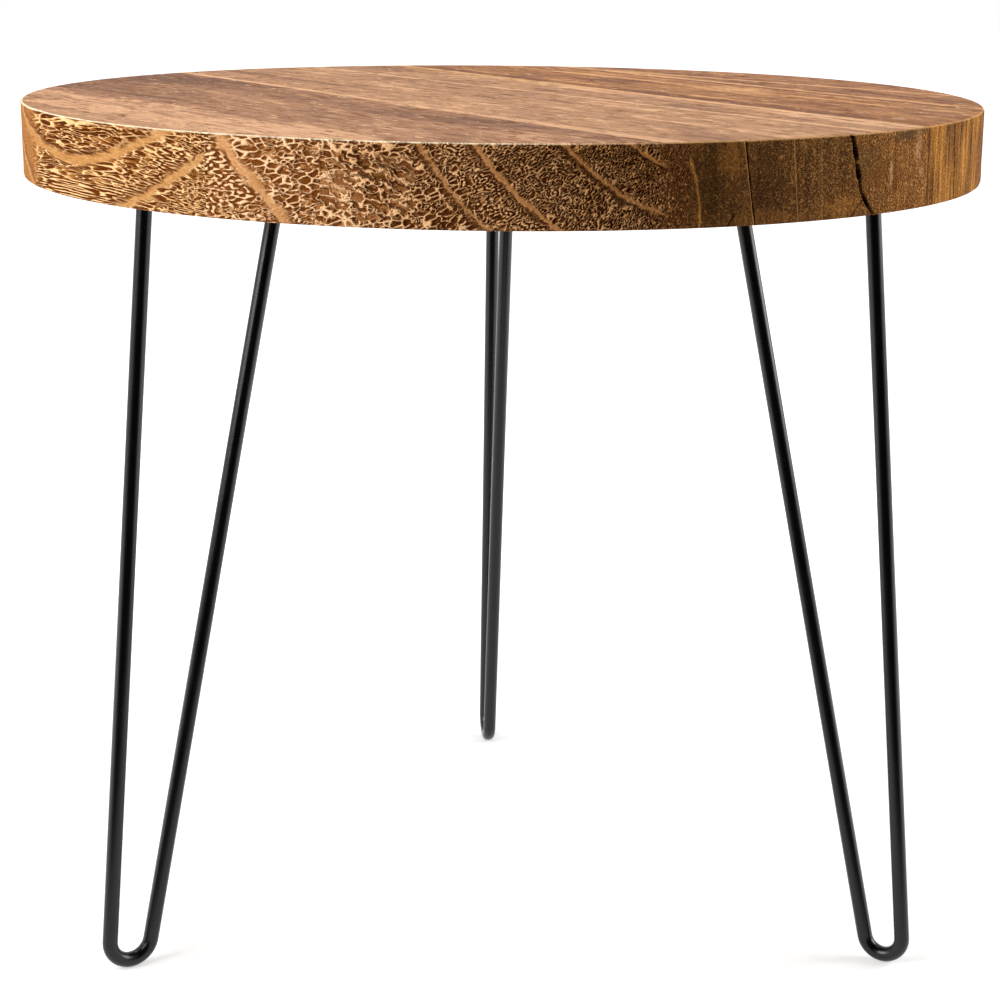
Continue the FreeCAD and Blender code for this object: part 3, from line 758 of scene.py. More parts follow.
# Sawn and oiled face: mottled wood with long streaks, short pores, pale flecks and grey wear
faceColours = ["Dark", "Body", "Light"]
faceLayers = {
    "sway": ((7.0, 20.0, 20.0), 1.0, 1.0), "streak": ((13.0, 140.0, 140.0), 1.0, 3.0, 0.65),
    "mottle": ((55.0, 80.0, 80.0), 1.0, 4.0, 0.72), "patch": ((8.0, 16.0, 16.0), 1.0, 3.0, 0.6),
    "fibre": ((45.0, 560.0, 560.0), 1.0, 2.0, 0.6), "pore": ((60.0, 240.0, 240.0), 1.0, 3.0, 0.7),
    "fleck": ((50.0, 190.0, 191.0), 1.0, 3.0, 0.7),
}
faceLook = {
    "swayReach": 0.02, "streak": 0.34, "patch": 0.32, "mottle": 0.34, "line": 0.10,
    "darkToBody": (0.38, 0.50), "bodyToLight": (0.50, 0.63), "fibreShade": (0.3, 0.7, 0.75, 1.22, "LINEAR"),
    "pores": (0.55, 0.66), "poreShare": 0.75, "flecks": (0.60, 0.68), "fleckShare": 0.75,
    "fleckColour": (242, 196, 152),
    "grey": (14.0, 3.0, 0.6), "greyEdge": (0.5, 0.72), "greyShare": 0.15, "greyColour": (112, 82, 64),
    "rough": 0.44, "fibreRough": 0.16, "poreRough": 0.2, "fibreHeight": 0.5, "mottleHeight": 0.8, "poreHeight": -0.6,
}


def buildFaceGroup():
    tree, given, gives = newGroup(
        "oiledFace", "ShaderNodeTree", {"Vector": ["Grain"], "Float": ["Line", "Seed"], "Color": faceColours},
        {"Color": ["Color"], "Float": ["Roughness", "Height"]},
    )
    look = faceLook
    grain = vectorCalc("ADD", given["Grain"], combine(given["Seed"], 0.0, 0.0))
    sway = (layer(grain, *faceLayers["sway"]) - 0.5) * look["swayReach"]
    grain = vectorCalc("ADD", grain, combine(0.0, sway, 0.0))
    streak, mottle, patch, fibre, pore, fleck = [
        layer(grain, *faceLayers[name]) for name in ("streak", "mottle", "patch", "fibre", "pore", "fleck")
    ]
    tone = streak * look["streak"] + patch * look["patch"]
    tone = mottle * look["mottle"] + tone
    tone = given["Line"] * look["line"] + tone
    colour = blendColour(smooth(tone, *look["darkToBody"]), given["Dark"], given["Body"])
    colour = blendColour(smooth(tone, *look["bodyToLight"]), colour, given["Light"])
    colour = shaded(colour, smooth(fibre, *look["fibreShade"]))
    poreMask = smooth(pore, *look["pores"])
    colour = blendColour(poreMask * look["poreShare"], colour, given["Dark"])
    fleckMask = smooth(1.0 - fleck, *look["flecks"])
    colour = blendColour(fleckMask * look["fleckShare"], colour, paint(*look["fleckColour"]))
    grey = smooth(noise(grain, *look["grey"]), *look["greyEdge"]) * look["greyShare"]
    feed(gives["Color"], blendColour(grey, colour, paint(*look["greyColour"])))
    rough = fibre * look["fibreRough"] + look["rough"]
    feed(gives["Roughness"], poreMask * look["poreRough"] + rough)
    height = fibre * look["fibreHeight"] + mottle * look["mottleHeight"]
    feed(gives["Height"], poreMask * look["poreHeight"] + height)
    return tree


# Brushed rim: dark pits with painted shade, pale ridges with a painted highlight and smooth bands, with upright
# streaks where the cut runs with the rings
rimColours = ["Pit", "Body", "Ridge Colour", "Band Colour", "Deep Pit", "Deep Body", "Deep Ridge", "Deep Band"]
rimLayers = {
    "speck": ((0.15, 1.0, 0.6), 1400.0, 2.0, 0.75), "patch": ((0.15, 1.0, 1.0), 75.0, 3.0, 0.6),
    "lines": ((4.0, 330.0, 11.0), 1.0, 3.0, 0.65), "broad": ((3.0, 48.0, 16.0), 1.0, 3.0, 0.55),
    "fleck": ((60.0, 620.0, 480.0), 1.0, 2.0, 0.7),
}
rimLook = {
    "patchShare": 0.7, "shadedPitToBody": (0.02, 0.45), "bodyToLitRidge": (0.45, 0.95), "bandShare": 0.92, "shadowShare": 0.75,
    "grit": 1.1, "lineShare": 1.5, "flecks": (0.60, 0.70), "fleckShare": 0.32,
    "rough": 0.8, "ridgeRough": -0.2, "bandHeight": 0.85, "speckHeight": 0.25,
}


def buildRimGroup():
    tree, given, gives = newGroup(
        "brushedEndGrain", "ShaderNodeTree",
        {"Vector": ["Grain"], "Float": ["Ridge", "Band", "Shadow", "Tone", "Upright", "Speck", "Stain Share"],
         "Color": ["Stain", *rimColours]},
        {"Color": ["Color"], "Float": ["Roughness", "Height"]},
    )
    look = rimLook
    speck, patch, lines, broad, fleck = [
        layer(given["Grain"], *rimLayers[name]) for name in ("speck", "patch", "lines", "broad", "fleck")
    ]
    tone = calc("MULTIPLY_ADD", patch - 0.5, look["patchShare"], given["Tone"], clamp=True)
    pit = blendColour(tone, given["Deep Pit"], given["Pit"])
    body = blendColour(tone, given["Deep Body"], given["Body"])
    ridge = blendColour(tone, given["Deep Ridge"], given["Ridge Colour"])
    bandColour = blendColour(tone, given["Deep Band"], given["Band Colour"])
    # pit, body and ridge colours follow the relief height: the wood's own tone, with painted shade in the pits and a
    # painted highlight on the ridges
    colour = blendColour(smooth(given["Ridge"], *look["shadedPitToBody"]), pit, body)
    colour = blendColour(smooth(given["Ridge"], *look["bodyToLitRidge"]), colour, ridge)
    colour = blendColour(given["Band"] * look["bandShare"], colour, bandColour)
    colour = blendColour(given["Shadow"] * look["shadowShare"], colour, pit)
    colour = blendColour(given["Stain Share"], colour, given["Stain"])
    shade = (speck - 0.5) * given["Speck"] * look["grit"] + 1.0
    streak = (lines - 0.5) * look["lineShare"] + (broad - 0.5)
    shade = shade * (streak * given["Upright"] + 1.0)
    colour = shaded(colour, shade)
    flecks = smooth(fleck, *look["flecks"]) * calc("MULTIPLY", given["Speck"], look["fleckShare"], clamp=True)
    feed(gives["Color"], blendColour(flecks, colour, ridge))
    feed(gives["Roughness"], given["Ridge"] * look["ridgeRough"] + look["rough"])
    height = blendValue(given["Band"], given["Ridge"], look["bandHeight"])
    feed(gives["Height"], speck * look["speckHeight"] + height)
    return tree


# A soft patch with a ragged edge, placed by two coordinates; patches add up one after the other
stainEdge = {"ragged": 2.6, "fade": (0.3, 1.3), "tint": (0.0, 0.25)}


def buildStainGroup():
    tree, given, gives = newGroup(
        "softPatch", "ShaderNodeTree",
        {"Color": ["Color", "Stain"], "Float": ["Share", "First", "Second", "Ragged", "First Place", "Second Place",
                                                "First Half", "Second Half", "Strength"]},
        {"Color": ["Color"], "Float": ["Share"]},
    )
    first, second = [
        (given[axis] - given[axis + " Place"]) / given[axis + " Half"] for axis in ("First", "Second")
    ]
    reach = flatReach((first, second))
    reach = reach + (given["Ragged"] - 0.5) * stainEdge["ragged"]
    share = falling(reach, *stainEdge["fade"]) * given["Strength"]
    feed(gives["Color"], blendColour(smooth(share, *stainEdge["tint"]), given["Color"], given["Stain"]))
    feed(gives["Share"], larger(given["Share"], share))
    return tree


# Light and dark lines that run the length of a board; backTone shifts the tone of its far end
boardTone = {"sway": ((6.0, 6.0, 0.0), 1.0, 2.0), "swayReach": 0.003, "core": 0.4, "back": (-0.24, -0.06)}


def boardLines(grain, lines, backTone):
    parts = separate(grain)
    across = (layer(grain, *boardTone["sway"]) - 0.5) * boardTone["swayReach"] + parts[1]
    total = 0.0
    for place, half, strength, slope in lines:
        middle = parts[0] * slope + place
        gap = abs(across - middle)
        total = smooth(gap, half * boardTone["core"], half, strength, 0.0) + total
    return smooth(parts[0], *boardTone["back"], backTone, 0.0) + total


# Stains on the rim, and the tone of a quiet zone under them
stains = {"layer": ((0.2, 1.0, 0.6), 190.0, 4.0, 0.7), "front": (0.0, 0.02), "quietShare": 0.5}


def placeStains(tree, grain, parts, board):
    colour, share = paint(*board["rim"][1]), 0.0
    if "quietTone" in board:
        colour, share = paint(*board["quietTone"]), quietZone(parts, board) * stains["quietShare"]
    if "stains" in board:
        ragged = layer(grain, *stains["layer"])
        front = smooth(parts[0], *stains["front"])
        for across, up, halfAcross, halfUp, strength, tint in board["stains"]:
            patch = placeGroup(tree, stainGroup, {
                "Color": colour, "Share": share, "First": parts[1], "Second": parts[2], "Ragged": ragged,
                "First Place": across, "Second Place": up, "First Half": halfAcross, "Second Half": halfUp,
                "Strength": front * strength, "Stain": paint(*tint),
            })
            colour, share = patch["Color"], patch["Share"]
    return colour, share


# The upper arris: worn wood with a painted highlight, pale at the left of the table, warmer and weaker toward its
# right
arrisWearAndHighlight = {
    "inset": (0.0016, 0.0010), "below": (0.0011, 0.0005), "patches": (60.0, 3.0, 0.6),
    "patchEdge": (0.35, 0.6, 0.75, 1.0),
    "side": (-0.22, -0.06), "weak": 0.40, "left": (255, 234, 200), "right": (255, 196, 128),
}


def paleArrisWearAndHighlight(position, parts, colour):
    place = separate(position)
    above = top["under"] + top["thickness"]
    outward = smooth(flatReach(place), *[top["radius"] - inset for inset in arrisWearAndHighlight["inset"]])
    upward = smooth(place[2], *[above - below for below in arrisWearAndHighlight["below"]])
    patch = smooth(noise(position, *arrisWearAndHighlight["patches"]), *arrisWearAndHighlight["patchEdge"])
    patch = patch * smooth(parts[1], *arrisWearAndHighlight["side"], 1.0, arrisWearAndHighlight["weak"])
    side = smooth(parts[1], *arrisWearAndHighlight["side"])
    return blendColour(outward * upward * patch, colour,
                       blendColour(side, paint(*arrisWearAndHighlight["left"]), paint(*arrisWearAndHighlight["right"])))


def palette(labels, colours):
    return {label: paint(*colour) for label, colour in zip(labels, colours)}


boardLook = {
    "plainRidge": 0.5, "quietSpeck": 4.0, "crackWider": 1.25, "crackSoft": 0.00005, "crackShadeColour": (9, 4, 1),
    "rimEdge": (0.3, 0.8), "specular": 0.05, "bump": 0.9, "bumpDistance": 0.0008, "seedStep": 3.7,
}


def buildBoardMaterial(board, seed):
    look = boardLook
    material, tree, shader = newMaterial(board["slot"] + "_oiled")
    position = attribute(tree, "place", "Vector")
    rings = placeGroup(tree, ringGroup, {
        "Position": position, "Pith Offset": board["pith"][0], "Pith Height": board["pith"][1], "Wave": board["wave"],
    })
    grain, distance = rings["Grain"], rings["Ring Distance"]
    parts = separate(grain)
    bandMask, shadow, coarse, tone = rimPattern(parts, distance, board)
    face = placeGroup(tree, faceGroup, {
        "Grain": grain, "Line": boardLines(grain, board["faceLines"], board.get("backTone", 0.0)), "Seed": seed,
        **palette(faceColours, board["face"]),
    })
    relief = placeGroup(tree, poreGroup, {
        "Grain": grain, "Ring Distance": distance, "Way Round": rings["Way Round"], "Coarseness": coarse, **pores,
    })
    worked = brushing(parts, board) * board["contrast"]
    stainColour, stainShare = placeStains(tree, grain, parts, board)
    rim = placeGroup(tree, rimGroup, {
        "Grain": grain, "Ridge": blendValue(worked, look["plainRidge"], relief["Ridge"]), "Band": bandMask,
        "Shadow": shadow, "Tone": tone, "Upright": board["upright"],
        "Speck": blendValue(quietZone(parts, board), board["speck"], look["quietSpeck"]),
        "Stain": stainColour, "Stain Share": stainShare,
        **palette(rimColours, board["rim"] + board["deep"]),
    })
    rimColour = rim["Color"]
    # light and dark lines up the rim, one of them a painted highlight beside a crack
    for rimLine in board.get("rimLines", []):
        rimLineMask = crackMask(parts, rimLine) * rimLine["share"]
        rimColour = blendColour(rimLineMask, rimColour, paint(*rimLine["colour"]))
    # cracks are painted near black and a little wider than their cut: painted shade inside the cracks
    for crack in board.get("cracks", []):
        drawnWidth = crack["width"] * look["crackWider"] + look["crackSoft"]
        crackShadeMask = crackMask(parts, {**crack, "width": drawnWidth})
        rimColour = blendColour(crackShadeMask, rimColour, paint(*look["crackShadeColour"]))
    share = smooth(attribute(tree, "rimShare"), *look["rimEdge"])
    colour = blendColour(share, face["Color"], rimColour)
    # the upper arris is painted pale: wear with a painted highlight
    feed(shader.inputs["Base Color"], paleArrisWearAndHighlight(position, parts, colour))
    feed(shader.inputs["Roughness"], blendValue(share, face["Roughness"], rim["Roughness"]))
    shader.inputs["Specular IOR Level"].default_value = look["specular"]
    addBump(shader, blendValue(share, face["Height"], rim["Height"]), look["bump"], look["bumpDistance"])
    return material


ringGroup = buildRingGroup()
poreGroup = buildPoreGroup()
faceGroup = buildFaceGroup()
rimGroup = buildRimGroup()
stainGroup = buildStainGroup()
for number, (name, board) in enumerate(boards.items()):
    piece = blankBoard(name.replace("top_board", "brushed_board"), board["low"], board["high"], board["steps"])
    material = buildBoardMaterial(board, boardLook["seedStep"] * number)
    applyTree(piece, buildRimTree(name, board), {**brush, "Material": material})
    piece.data.polygons.foreach_set("use_smooth", [len(face.vertices) < 5 for face in piece.data.polygons])
    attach(piece, "root")
    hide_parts(name)
    print(name, "brushed:", len(piece.data.polygons), "faces")


# Black satin coating on all steel
coat = {
    "dust": (45.0, 3.0, 0.6), "dustEdge": (0.35, 0.75), "clean": (3, 3, 4), "dusty": (9, 9, 9), "rough": 0.20,
    "dustRough": 0.12, "specular": 0.40, "peel": (900.0, 2.0, 0.5), "bump": 0.15, "bumpDistance": 0.0002,
}


def buildCoatMaterial():
    material, tree, shader = newMaterial("black_satin_coat")
    dust = noise(texturePlace(tree), *coat["dust"])
    colour = blendColour(smooth(dust, *coat["dustEdge"]), paint(*coat["clean"]), paint(*coat["dusty"]))
    feed(shader.inputs["Base Color"], colour)
    feed(shader.inputs["Roughness"], dust * coat["dustRough"] + coat["rough"])
    shader.inputs["Specular IOR Level"].default_value = coat["specular"]
    addBump(shader, noise(texturePlace(tree), *coat["peel"]), coat["bump"], coat["bumpDistance"])
    return material


# Zinc on the screws and plain hardwood on the dowels, both out of sight from the front
zinc = {
    "cloud": (260.0, 3.0, 0.6), "cloudEdge": (0.35, 0.7), "dark": (150, 150, 152), "pale": (196, 196, 192),
    "scratches": ((900.0, 2400.0, 600.0), 1.0, 2.0), "scratchRough": 0.25, "rough": 0.22,
}
dowelWood = {
    "fibre": ((900.0, 40.0, 900.0), 1.0, 3.0, 0.6), "fibreEdge": (0.3, 0.7), "dark": (188, 148, 100),
    "pale": (224, 190, 142), "fibreRough": 0.2, "rough": 0.55,
}


def buildZincMaterial():
    material, tree, shader = newMaterial("zinc_plate")
    cloud = smooth(noise(texturePlace(tree), *zinc["cloud"]), *zinc["cloudEdge"])
    scratch = layer(texturePlace(tree), *zinc["scratches"])
    feed(shader.inputs["Base Color"], blendColour(cloud, paint(*zinc["dark"]), paint(*zinc["pale"])))
    feed(shader.inputs["Roughness"], scratch * zinc["scratchRough"] + zinc["rough"])
    shader.inputs["Metallic"].default_value = 1.0
    return material


def buildDowelMaterial():
    material, tree, shader = newMaterial("plain_dowel_wood")
    fibre = layer(grainSpace(texturePlace(tree)), *dowelWood["fibre"])
    tone = smooth(fibre, *dowelWood["fibreEdge"])
    feed(shader.inputs["Base Color"], blendColour(tone, paint(*dowelWood["dark"]), paint(*dowelWood["pale"])))
    feed(shader.inputs["Roughness"], fibre * dowelWood["fibreRough"] + dowelWood["rough"])
    return material


# Legs: middle of each plate in from the rim, its place and the way it splays in degrees from +X
legs = {
    "back": {"inset": 0.1002, "place": 89.55, "turn": 95.87, "reach": 0.0749, "bend": 0.0096},
    "left": {"inset": 0.1032, "place": 208.98, "turn": 212.56, "reach": 0.0744, "bend": 0.0096},
    "right": {"inset": 0.1003, "place": 331.21, "turn": 327.58, "reach": 0.0771, "bend": 0.0082},
}
rod = {"radius": 0.005, "slim": 0.00004, "spread": 0.092, "weldWithin": 0.00002}
rodParts = {"Sides": 36, "Run Parts": 40, "Bend Parts": 40}
weld = {"Leg": 0.0035, "Sunk": 0.0008, "Ripples": 15.0, "Ripple Depth": 0.0003}
screws = {"Spacing X": 0.096, "Spacing Y": 0.026}


# Middle of a leg's plate at its lower face, and the way the foot points
def legPlace(side):
    leg = legs[side]
    place, turn = math.radians(leg["place"]), math.radians(leg["turn"])
    reach = top["radius"] - leg["inset"]
    middle = Vector((reach * math.cos(place), reach * math.sin(place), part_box("leg_plate_" + side)[0][2]))
    return middle, Vector((math.cos(turn), math.sin(turn), 0))


# Ends of the two straight runs, the lowest point of the bend and the runs' directions
def rodPath(side):
    middle, out = legPlace(side)
    radius = legs[side]["bend"] + rod["radius"]
    bend = middle + out * legs[side]["reach"]
    bend.z = radius + rod["radius"]
    path = {}
    for name, way in (("Outer", 1), ("Inner", -1)):
        seat = middle + out * rod["spread"] / 2 * way
        reach = bend - seat
        lean = math.asin(radius / reach.length) * way
        angle = math.atan2(reach.dot(out), -reach.z) + lean
        down = out * math.sin(angle) - Vector((0, 0, math.cos(angle)))
        touch = seat + down * down.dot(reach)
        path[name + " Seat"], path[name + " Touch"], path[name + " Down"] = seat, touch, down
    path["Foot"] = bend - Vector((0, 0, radius))
    return path


def shadeSmooth(tree, geometry):
    return addNode(tree, "GeometryNodeSetShadeSmooth", Geometry=geometry).outputs[0]


# One bent rod: two straight runs joined by the bend, swept with a round section
def buildRodTree():
    tree, given, gives = newGeometry("bentRod", {
        "Vector": ["Outer Seat", "Outer Touch", "Foot", "Inner Touch", "Inner Seat"], "Float": ["Rod Radius"],
        "Int": rodParts,
    })
    join = tree.nodes.new("GeometryNodeJoinGeometry")
    for start, end in (("Outer Seat", "Outer Touch"), ("Inner Touch", "Inner Seat")):
        run = addNode(tree, "GeometryNodeCurvePrimitiveLine", Start=given[start], End=given[end])
        parts = addNode(tree, "GeometryNodeResampleCurve", {"mode": "COUNT"}, Curve=run.outputs[0],
                        Count=given["Run Parts"])
        tree.links.new(parts.outputs[0], join.inputs[0])
    bend = addNode(tree, "GeometryNodeCurveArc", {"mode": "POINTS"}, Resolution=given["Bend Parts"],
                   Start=given["Outer Touch"], Middle=given["Foot"], End=given["Inner Touch"])
    tree.links.new(bend.outputs[0], join.inputs[0])
    wire = addNode(tree, "GeometryNodeCurveToMesh", Curve=join.outputs[0])
    merged = addNode(tree, "GeometryNodeMergeByDistance", Geometry=wire.outputs[0], Distance=rod["weldWithin"])
    line = addNode(tree, "GeometryNodeMeshToCurve", Mesh=merged.outputs[0])
    section = addNode(tree, "GeometryNodeCurvePrimitiveCircle", Resolution=given["Sides"], Radius=given["Rod Radius"])
    swept = addNode(tree, "GeometryNodeCurveToMesh", Curve=line.outputs[0], Fill_Caps=True)
    feed(swept.inputs[1], section.outputs[0])
    return endGeometry(tree, shadeSmooth(tree, swept.outputs[0]), given, gives)


# Weld beads: a rippled ring at each rod end. Its outline is given as shares of its widest and its height,
# and the ripples fade in and out along it.
bead = {
    "around": 91, "along": 15, "weldWithin": 0.00001, "twist": 4.0, "fadeIn": (0.14, 0.3), "fadeOut": (0.7, 0.86),
    "outline": [(0.0, 0, 0), (0.12, 1, 0), (0.28, 1, 0.28), (0.5, 0.9, 0.52), (0.7, 0.75, 0.78), (0.88, 0.6, 1),
                (1.0, 0, 1)],
}


def buildWeldTree():
    tree, given, gives = newGeometry("rippledWelds", {
        "Vector": ["Outer Seat", "Outer Down", "Inner Seat", "Inner Down"], "Float": ["Rod Radius", *weld],
    })
    sheet = addNode(tree, "GeometryNodeMeshGrid", Size_X=1.0, Size_Y=1.0, Vertices_X=bead["around"],
                    Vertices_Y=bead["along"])
    place = separate(Value(tree.nodes.new("GeometryNodeInputPosition").outputs[0]))
    angle = (place[0] + 0.5) * (2 * math.pi)
    along = place[1] + 0.5
    outline = separate(ramp(along, [(share, (wide, high, 0)) for share, wide, high in bead["outline"]]))
    middle = smooth(along, *bead["fadeIn"]) * falling(along, *bead["fadeOut"])
    wave = calc("SINE", along * bead["twist"] + angle * given["Ripples"])
    ripple = wave * middle * given["Ripple Depth"]
    radius = outline[0] * (given["Rod Radius"] + given["Leg"]) + ripple
    height = outline[1] * (given["Leg"] + given["Sunk"])
    spot = combine(radius * calc("COSINE", angle), radius * calc("SINE", angle), height - given["Sunk"])
    ring = addNode(tree, "GeometryNodeSetPosition", Geometry=sheet.outputs[0], Position=spot)
    closed = addNode(tree, "GeometryNodeMergeByDistance", Geometry=ring.outputs[0], Distance=bead["weldWithin"])
    seats = addNode(tree, "GeometryNodeMeshLine", {"mode": "END_POINTS"}, Count=2, Start_Location=given["Outer Seat"],
                    Offset=given["Inner Seat"])
    number = tree.nodes.new("GeometryNodeInputIndex").outputs[0]
    down = addNode(tree, "GeometryNodeSwitch", {"input_type": "VECTOR"}, Switch=number)
    feed(down.inputs["False"], given["Outer Down"])
    feed(down.inputs["True"], given["Inner Down"])
    upright = addNode(tree, "FunctionNodeAlignRotationToVector", {"axis": "Z"}, Vector=down.outputs[0])
    placed = addNode(tree, "GeometryNodeInstanceOnPoints", Points=seats.outputs[0], Instance=closed.outputs[0],
                     Rotation=upright.outputs[0])
    return endGeometry(tree, shadeSmooth(tree, placed.outputs[0]), given, gives)


# One pan-head screw with a cross recess and a rolled thread; its head hangs below the origin
panHead = {
    "recess": 0.0024, "recessDepth": 0.0016, "slot": 0.00055, "slotTaper": (1.25, 0.5),
    "slotWall": 0.00015, "recessEnd": 0.0003, "recessRise": 0.45, "recessRings": 14, "recessSpan": 1.05,
    "core": 0.00155, "thread": 0.0005, "crest": 3.2, "pitch": 0.0018, "length": 0.019, "point": 0.004, "tip": 0.12,
    "tipHeight": 0.0002, "rows": 96, "sides": 40,
    # radius and height above the lowest face, from that face round the edge to the plate
    "outline": [(0.0032, 0.00005), (0.0037, 0.0002), (0.0041, 0.0006), (0.00445, 0.0014), (0.0046, 0.0021),
                (0.0046, 0.0029)],
}


def recessDepth(x, y):
    reach = math.hypot(x, y)
    share = reach / panHead["recess"]
    wide, taper = panHead["slotTaper"]
    wall = max(0.0, min(1.0, (panHead["slot"] * (wide - taper * share) - min(abs(x), abs(y))) / panHead["slotWall"]))
    end = max(0.0, min(1.0, (panHead["recess"] - reach) / panHead["recessEnd"]))
    return panHead["recessDepth"] * wall * end * (1 - panHead["recessRise"] * share)


# The thread's radius at an angle and a height, thinner toward the point
def threadRadius(angle, height):
    turn = (height / panHead["pitch"] - angle / (2 * math.pi)) % 1.0
    crest = max(0.0, 1 - abs(turn - 0.5) * panHead["crest"])
    taper = min(1.0, panHead["tip"] + (panHead["length"] - height) / panHead["point"])
    return (panHead["core"] + panHead["thread"] * crest) * taper


def buildScrew():
    sides, low = panHead["sides"], -panHead["outline"][-1][1]
    angles = [2 * math.pi * side / sides for side in range(sides)]
    work = bmesh.new()
    rings = []

    def addRing(radius, height):
        ring = []
        for angle in angles:
            reach = radius(angle) if callable(radius) else radius
            x, y = reach * math.cos(angle), reach * math.sin(angle)
            ring.append(work.verts.new((x, y, height(x, y) if callable(height) else height)))
        rings.append(ring)

    for step in range(1, panHead["recessRings"] + 1):
        radius = panHead["recess"] * panHead["recessSpan"] * step / panHead["recessRings"]
        addRing(radius, lambda x, y: low + recessDepth(x, y))
    for radius, height in panHead["outline"]:
        addRing(radius, low + height)
    for row in range(panHead["rows"] + 1):
        height = panHead["length"] * row / panHead["rows"]
        addRing(lambda angle: threadRadius(angle, height), height)
    for lower, upper in zip(rings, rings[1:]):
        for side in range(sides):
            after = (side + 1) % sides
            work.faces.new((lower[side], lower[after], upper[after], upper[side]))
    tipEnd = panHead["length"] + panHead["tipHeight"]
    for ring, height in ((rings[0], low + recessDepth(0, 0)), (rings[-1], tipEnd)):
        pole = work.verts.new((0, 0, height))
        for side in range(sides):
            work.faces.new((ring[side], ring[(side + 1) % sides], pole))
    bmesh.ops.recalc_face_normals(work, faces=work.faces)
    mesh = bpy.data.meshes.new("panHeadScrew")
    work.to_mesh(mesh)
    work.free()
    return addObject("panHeadScrew", mesh)


def buildScrewTree():
    tree, given, gives = newGeometry("screwSet", {
        "Object": ["Screw"], "Vector": ["Middle"], "Float": ["Turn", *screws], "Int": ["Seed"],
    })
    grid = addNode(tree, "GeometryNodeMeshGrid", Size_X=given["Spacing X"], Size_Y=given["Spacing Y"], Vertices_X=2,
                   Vertices_Y=2)
    placed = addNode(tree, "GeometryNodeTransform", Geometry=grid.outputs[0], Translation=given["Middle"],
                     Rotation=combine(0.0, 0.0, given["Turn"]))
    drive = addNode(tree, "FunctionNodeRandomValue", {"data_type": "FLOAT_VECTOR"}, Seed=given["Seed"])
    drive.inputs[0].default_value = (0, 0, 0)
    drive.inputs[1].default_value = (0, 0, 2 * math.pi)
    screw = addNode(tree, "GeometryNodeObjectInfo", Object=given["Screw"], As_Instance=True)
    driven = addNode(tree, "GeometryNodeInstanceOnPoints", Points=placed.outputs[0],
                     Instance=screw.outputs["Geometry"], Rotation=drive.outputs[0])
    return endGeometry(tree, shadeSmooth(tree, driven.outputs[0]), given, gives)


def makePiece(name, tree, values, replaced):
    piece = addObject(name, bpy.data.meshes.new(name))
    applyTree(piece, tree, values)
    work = bmesh.new()
    work.from_mesh(piece.data)
    bmesh.ops.recalc_face_normals(work, faces=work.faces)
    work.to_mesh(piece.data)
    work.free()
    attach(piece, "root")
    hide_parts(replaced)


coatMaterial = buildCoatMaterial()
zincMaterial = buildZincMaterial()
dowelMaterial = buildDowelMaterial()
rodTree, weldTree, screwTree = buildRodTree(), buildWeldTree(), buildScrewTree()
screwTemplate = buildScrew()
firstSeed = 11
for number, side in enumerate(legs):
    path = rodPath(side)
    middle, out = legPlace(side)
    makePiece("bent_rod_" + side, rodTree, {
        **path, **rodParts, "Rod Radius": rod["radius"] - rod["slim"], "Material": coatMaterial,
    }, "leg_rod_" + side)
    makePiece("rippled_welds_" + side, weldTree, {
        **path, **weld, "Rod Radius": rod["radius"], "Material": coatMaterial,
    }, "weld_beads_" + side)
    makePiece("pan_head_screws_" + side, screwTree, {
        "Screw": screwTemplate, "Middle": middle, "Turn": math.atan2(out.y, out.x), **screws,
        "Seed": firstSeed + number, "Material": zincMaterial,
    }, "plate_screws_" + side)
bpy.data.objects.remove(screwTemplate)
for name, material in [("leg_plate_" + side, coatMaterial) for side in legs] + [
    (name, dowelMaterial) for name in ("dowels_wide_to_middle", "dowels_middle_to_narrow", "dowels_narrow_to_outer")
]:
    for slot in bpy.data.objects[name].material_slots:
        slot.material = material
print("legs, welds and screws made")


# White floor that keeps the soft shadow, and a white surround with a dark end for the satin coat to mirror
stage = {
    "floorSize": 12.0, "floorTone": (0.75, 0.75, 0.75, 1), "floorRough": 0.7, "white": (1, 1, 1, 1),
    "glowNear": 0.44, "glowFrom": (0.45, 1.1), "surround": 0.26, "darkRoom": 0.04, "darkSide": (0.25, 0.75),
    "darkFloor": (0.30, 0.70), "darkSky": (0.0, 0.1), "leastReach": 0.001,
}


# 1 toward the dark end of the studio, behind the camera
def darkEnd(place, span):
    parts = separate(place)
    reach = larger(flatReach(parts), stage["leastReach"])
    toward = smooth(parts[1] * -1.0 / reach, *stage["darkSide"])
    return toward * smooth(reach, *span)


def buildFloor():
    mesh = bpy.data.meshes.new("floor")
    size = stage["floorSize"]
    mesh.from_pydata([(-size, -size, 0), (size, -size, 0), (size, size, 0), (-size, size, 0)], [], [(0, 1, 2, 3)])
    floor = addObject("floor", mesh)
    material, tree, shader = newMaterial("white_floor")
    surface = shader.outputs[0].links[0].to_socket
    shader.inputs["Base Color"].default_value = stage["floorTone"]
    shader.inputs["Roughness"].default_value = stage["floorRough"]
    path = tree.nodes.new("ShaderNodeLightPath")
    seen, mirrored = Value(path.outputs["Is Camera Ray"]), Value(path.outputs["Is Glossy Ray"])
    place = texturePlace(tree)
    away = smooth(vectorCalc("LENGTH", place), *stage["glowFrom"], stage["glowNear"], 1.0)
    glow = addNode(tree, "ShaderNodeEmission", Color=stage["white"], Strength=larger(seen, mirrored) * away)
    lit = tree.nodes.new("ShaderNodeAddShader")
    feed(lit.inputs[0], shader.outputs[0])
    feed(lit.inputs[1], glow.outputs[0])
    dark = addNode(tree, "ShaderNodeEmission", Strength=stage["darkRoom"])
    choose = tree.nodes.new("ShaderNodeMixShader")
    feed(choose.inputs[0], mirrored * darkEnd(place, stage["darkFloor"]))
    feed(choose.inputs[1], lit.outputs[0])
    feed(choose.inputs[2], dark.outputs[0])
    feed(surface, choose.outputs[0])
    mesh.materials.append(material)


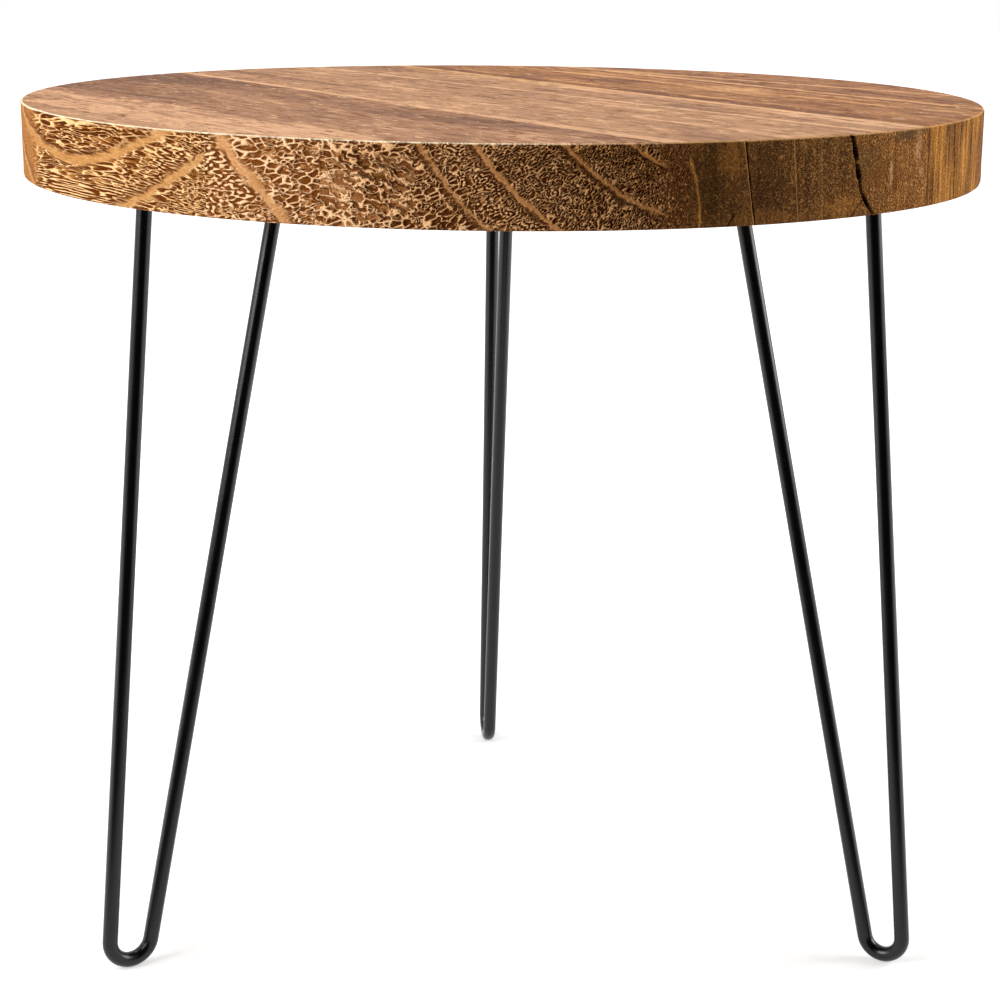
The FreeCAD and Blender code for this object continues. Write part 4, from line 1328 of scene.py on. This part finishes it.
def buildWorld():
    world = bpy.data.worlds.new("studio")
    bpy.context.scene.world = world
    world.use_nodes = True
    tree = world.node_tree
    tree.nodes.clear()
    path = tree.nodes.new("ShaderNodeLightPath")
    seen, glossy = Value(path.outputs["Is Camera Ray"]), Value(path.outputs["Is Glossy Ray"])
    way = texturePlace(tree, "Generated")
    mirrored = blendValue(darkEnd(way, stage["darkSky"]), 1.0, stage["darkRoom"])
    strength = blendValue(glossy, stage["surround"], mirrored)
    strength = blendValue(seen, strength, 1.0)
    back = addNode(tree, "ShaderNodeBackground", Color=stage["white"], Strength=strength)
    addNode(tree, "ShaderNodeOutputWorld", Surface=back.outputs[0])


lamps = {
    "left_softbox": {"place": (-1.65, -1.05, 1.2), "size": 1.3, "watts": 40.0},
    "right_softbox": {"place": (2.0, 0.0, 1.1), "size": 1.3, "watts": 36.0},
    "overhead_softbox": {"place": (-0.2, 0.5, 2.2), "size": 1.2, "watts": 16.0},
}
lampTarget = (0, 0, 0.4)


def buildLamps():
    for name, lamp in lamps.items():
        light = bpy.data.lights.new(name, "AREA")
        light.energy = lamp["watts"]
        light.size = lamp["size"]
        holder = addObject(name, light)
        holder.location = lamp["place"]
        holder.rotation_euler = (Vector(lampTarget) - Vector(lamp["place"])).to_track_quat("-Z", "Y").to_euler()


# Camera at the place of the photographer
view = {
    "place": (-0.03284, -1.55419, 0.67648),
    "heading": 2.667,
    "pitch": 14.891,
    "roll": 0.656,
    "lens": 83.59,
    "sensor": 36.0,
    "shiftX": -0.060,
    "shiftY": 0.02436,
}


def buildCamera():
    data = bpy.data.cameras.new("photo_view")
    data.lens = view["lens"]
    data.sensor_width = view["sensor"]
    data.shift_x = view["shiftX"]
    data.shift_y = view["shiftY"]
    camera = addObject("photo_view", data)
    heading, pitch, roll = (math.radians(view[key]) for key in ("heading", "pitch", "roll"))
    forward = Vector((math.sin(heading) * math.cos(pitch), math.cos(heading) * math.cos(pitch), -math.sin(pitch)))
    level = Vector((math.cos(heading), -math.sin(heading), 0))
    upright = level.cross(forward)
    right = level * math.cos(roll) + upright * math.sin(roll)
    above = upright * math.cos(roll) - level * math.sin(roll)
    turn = Matrix((right, above, -forward)).transposed()
    camera.matrix_world = Matrix.Translation(Vector(view["place"])) @ turn.to_4x4()
    bpy.context.scene.camera = camera


buildFloor()
buildWorld()
buildLamps()
buildCamera()
bpy.context.scene.view_settings.view_transform = "Standard"
print("stage, lamps and camera placed")
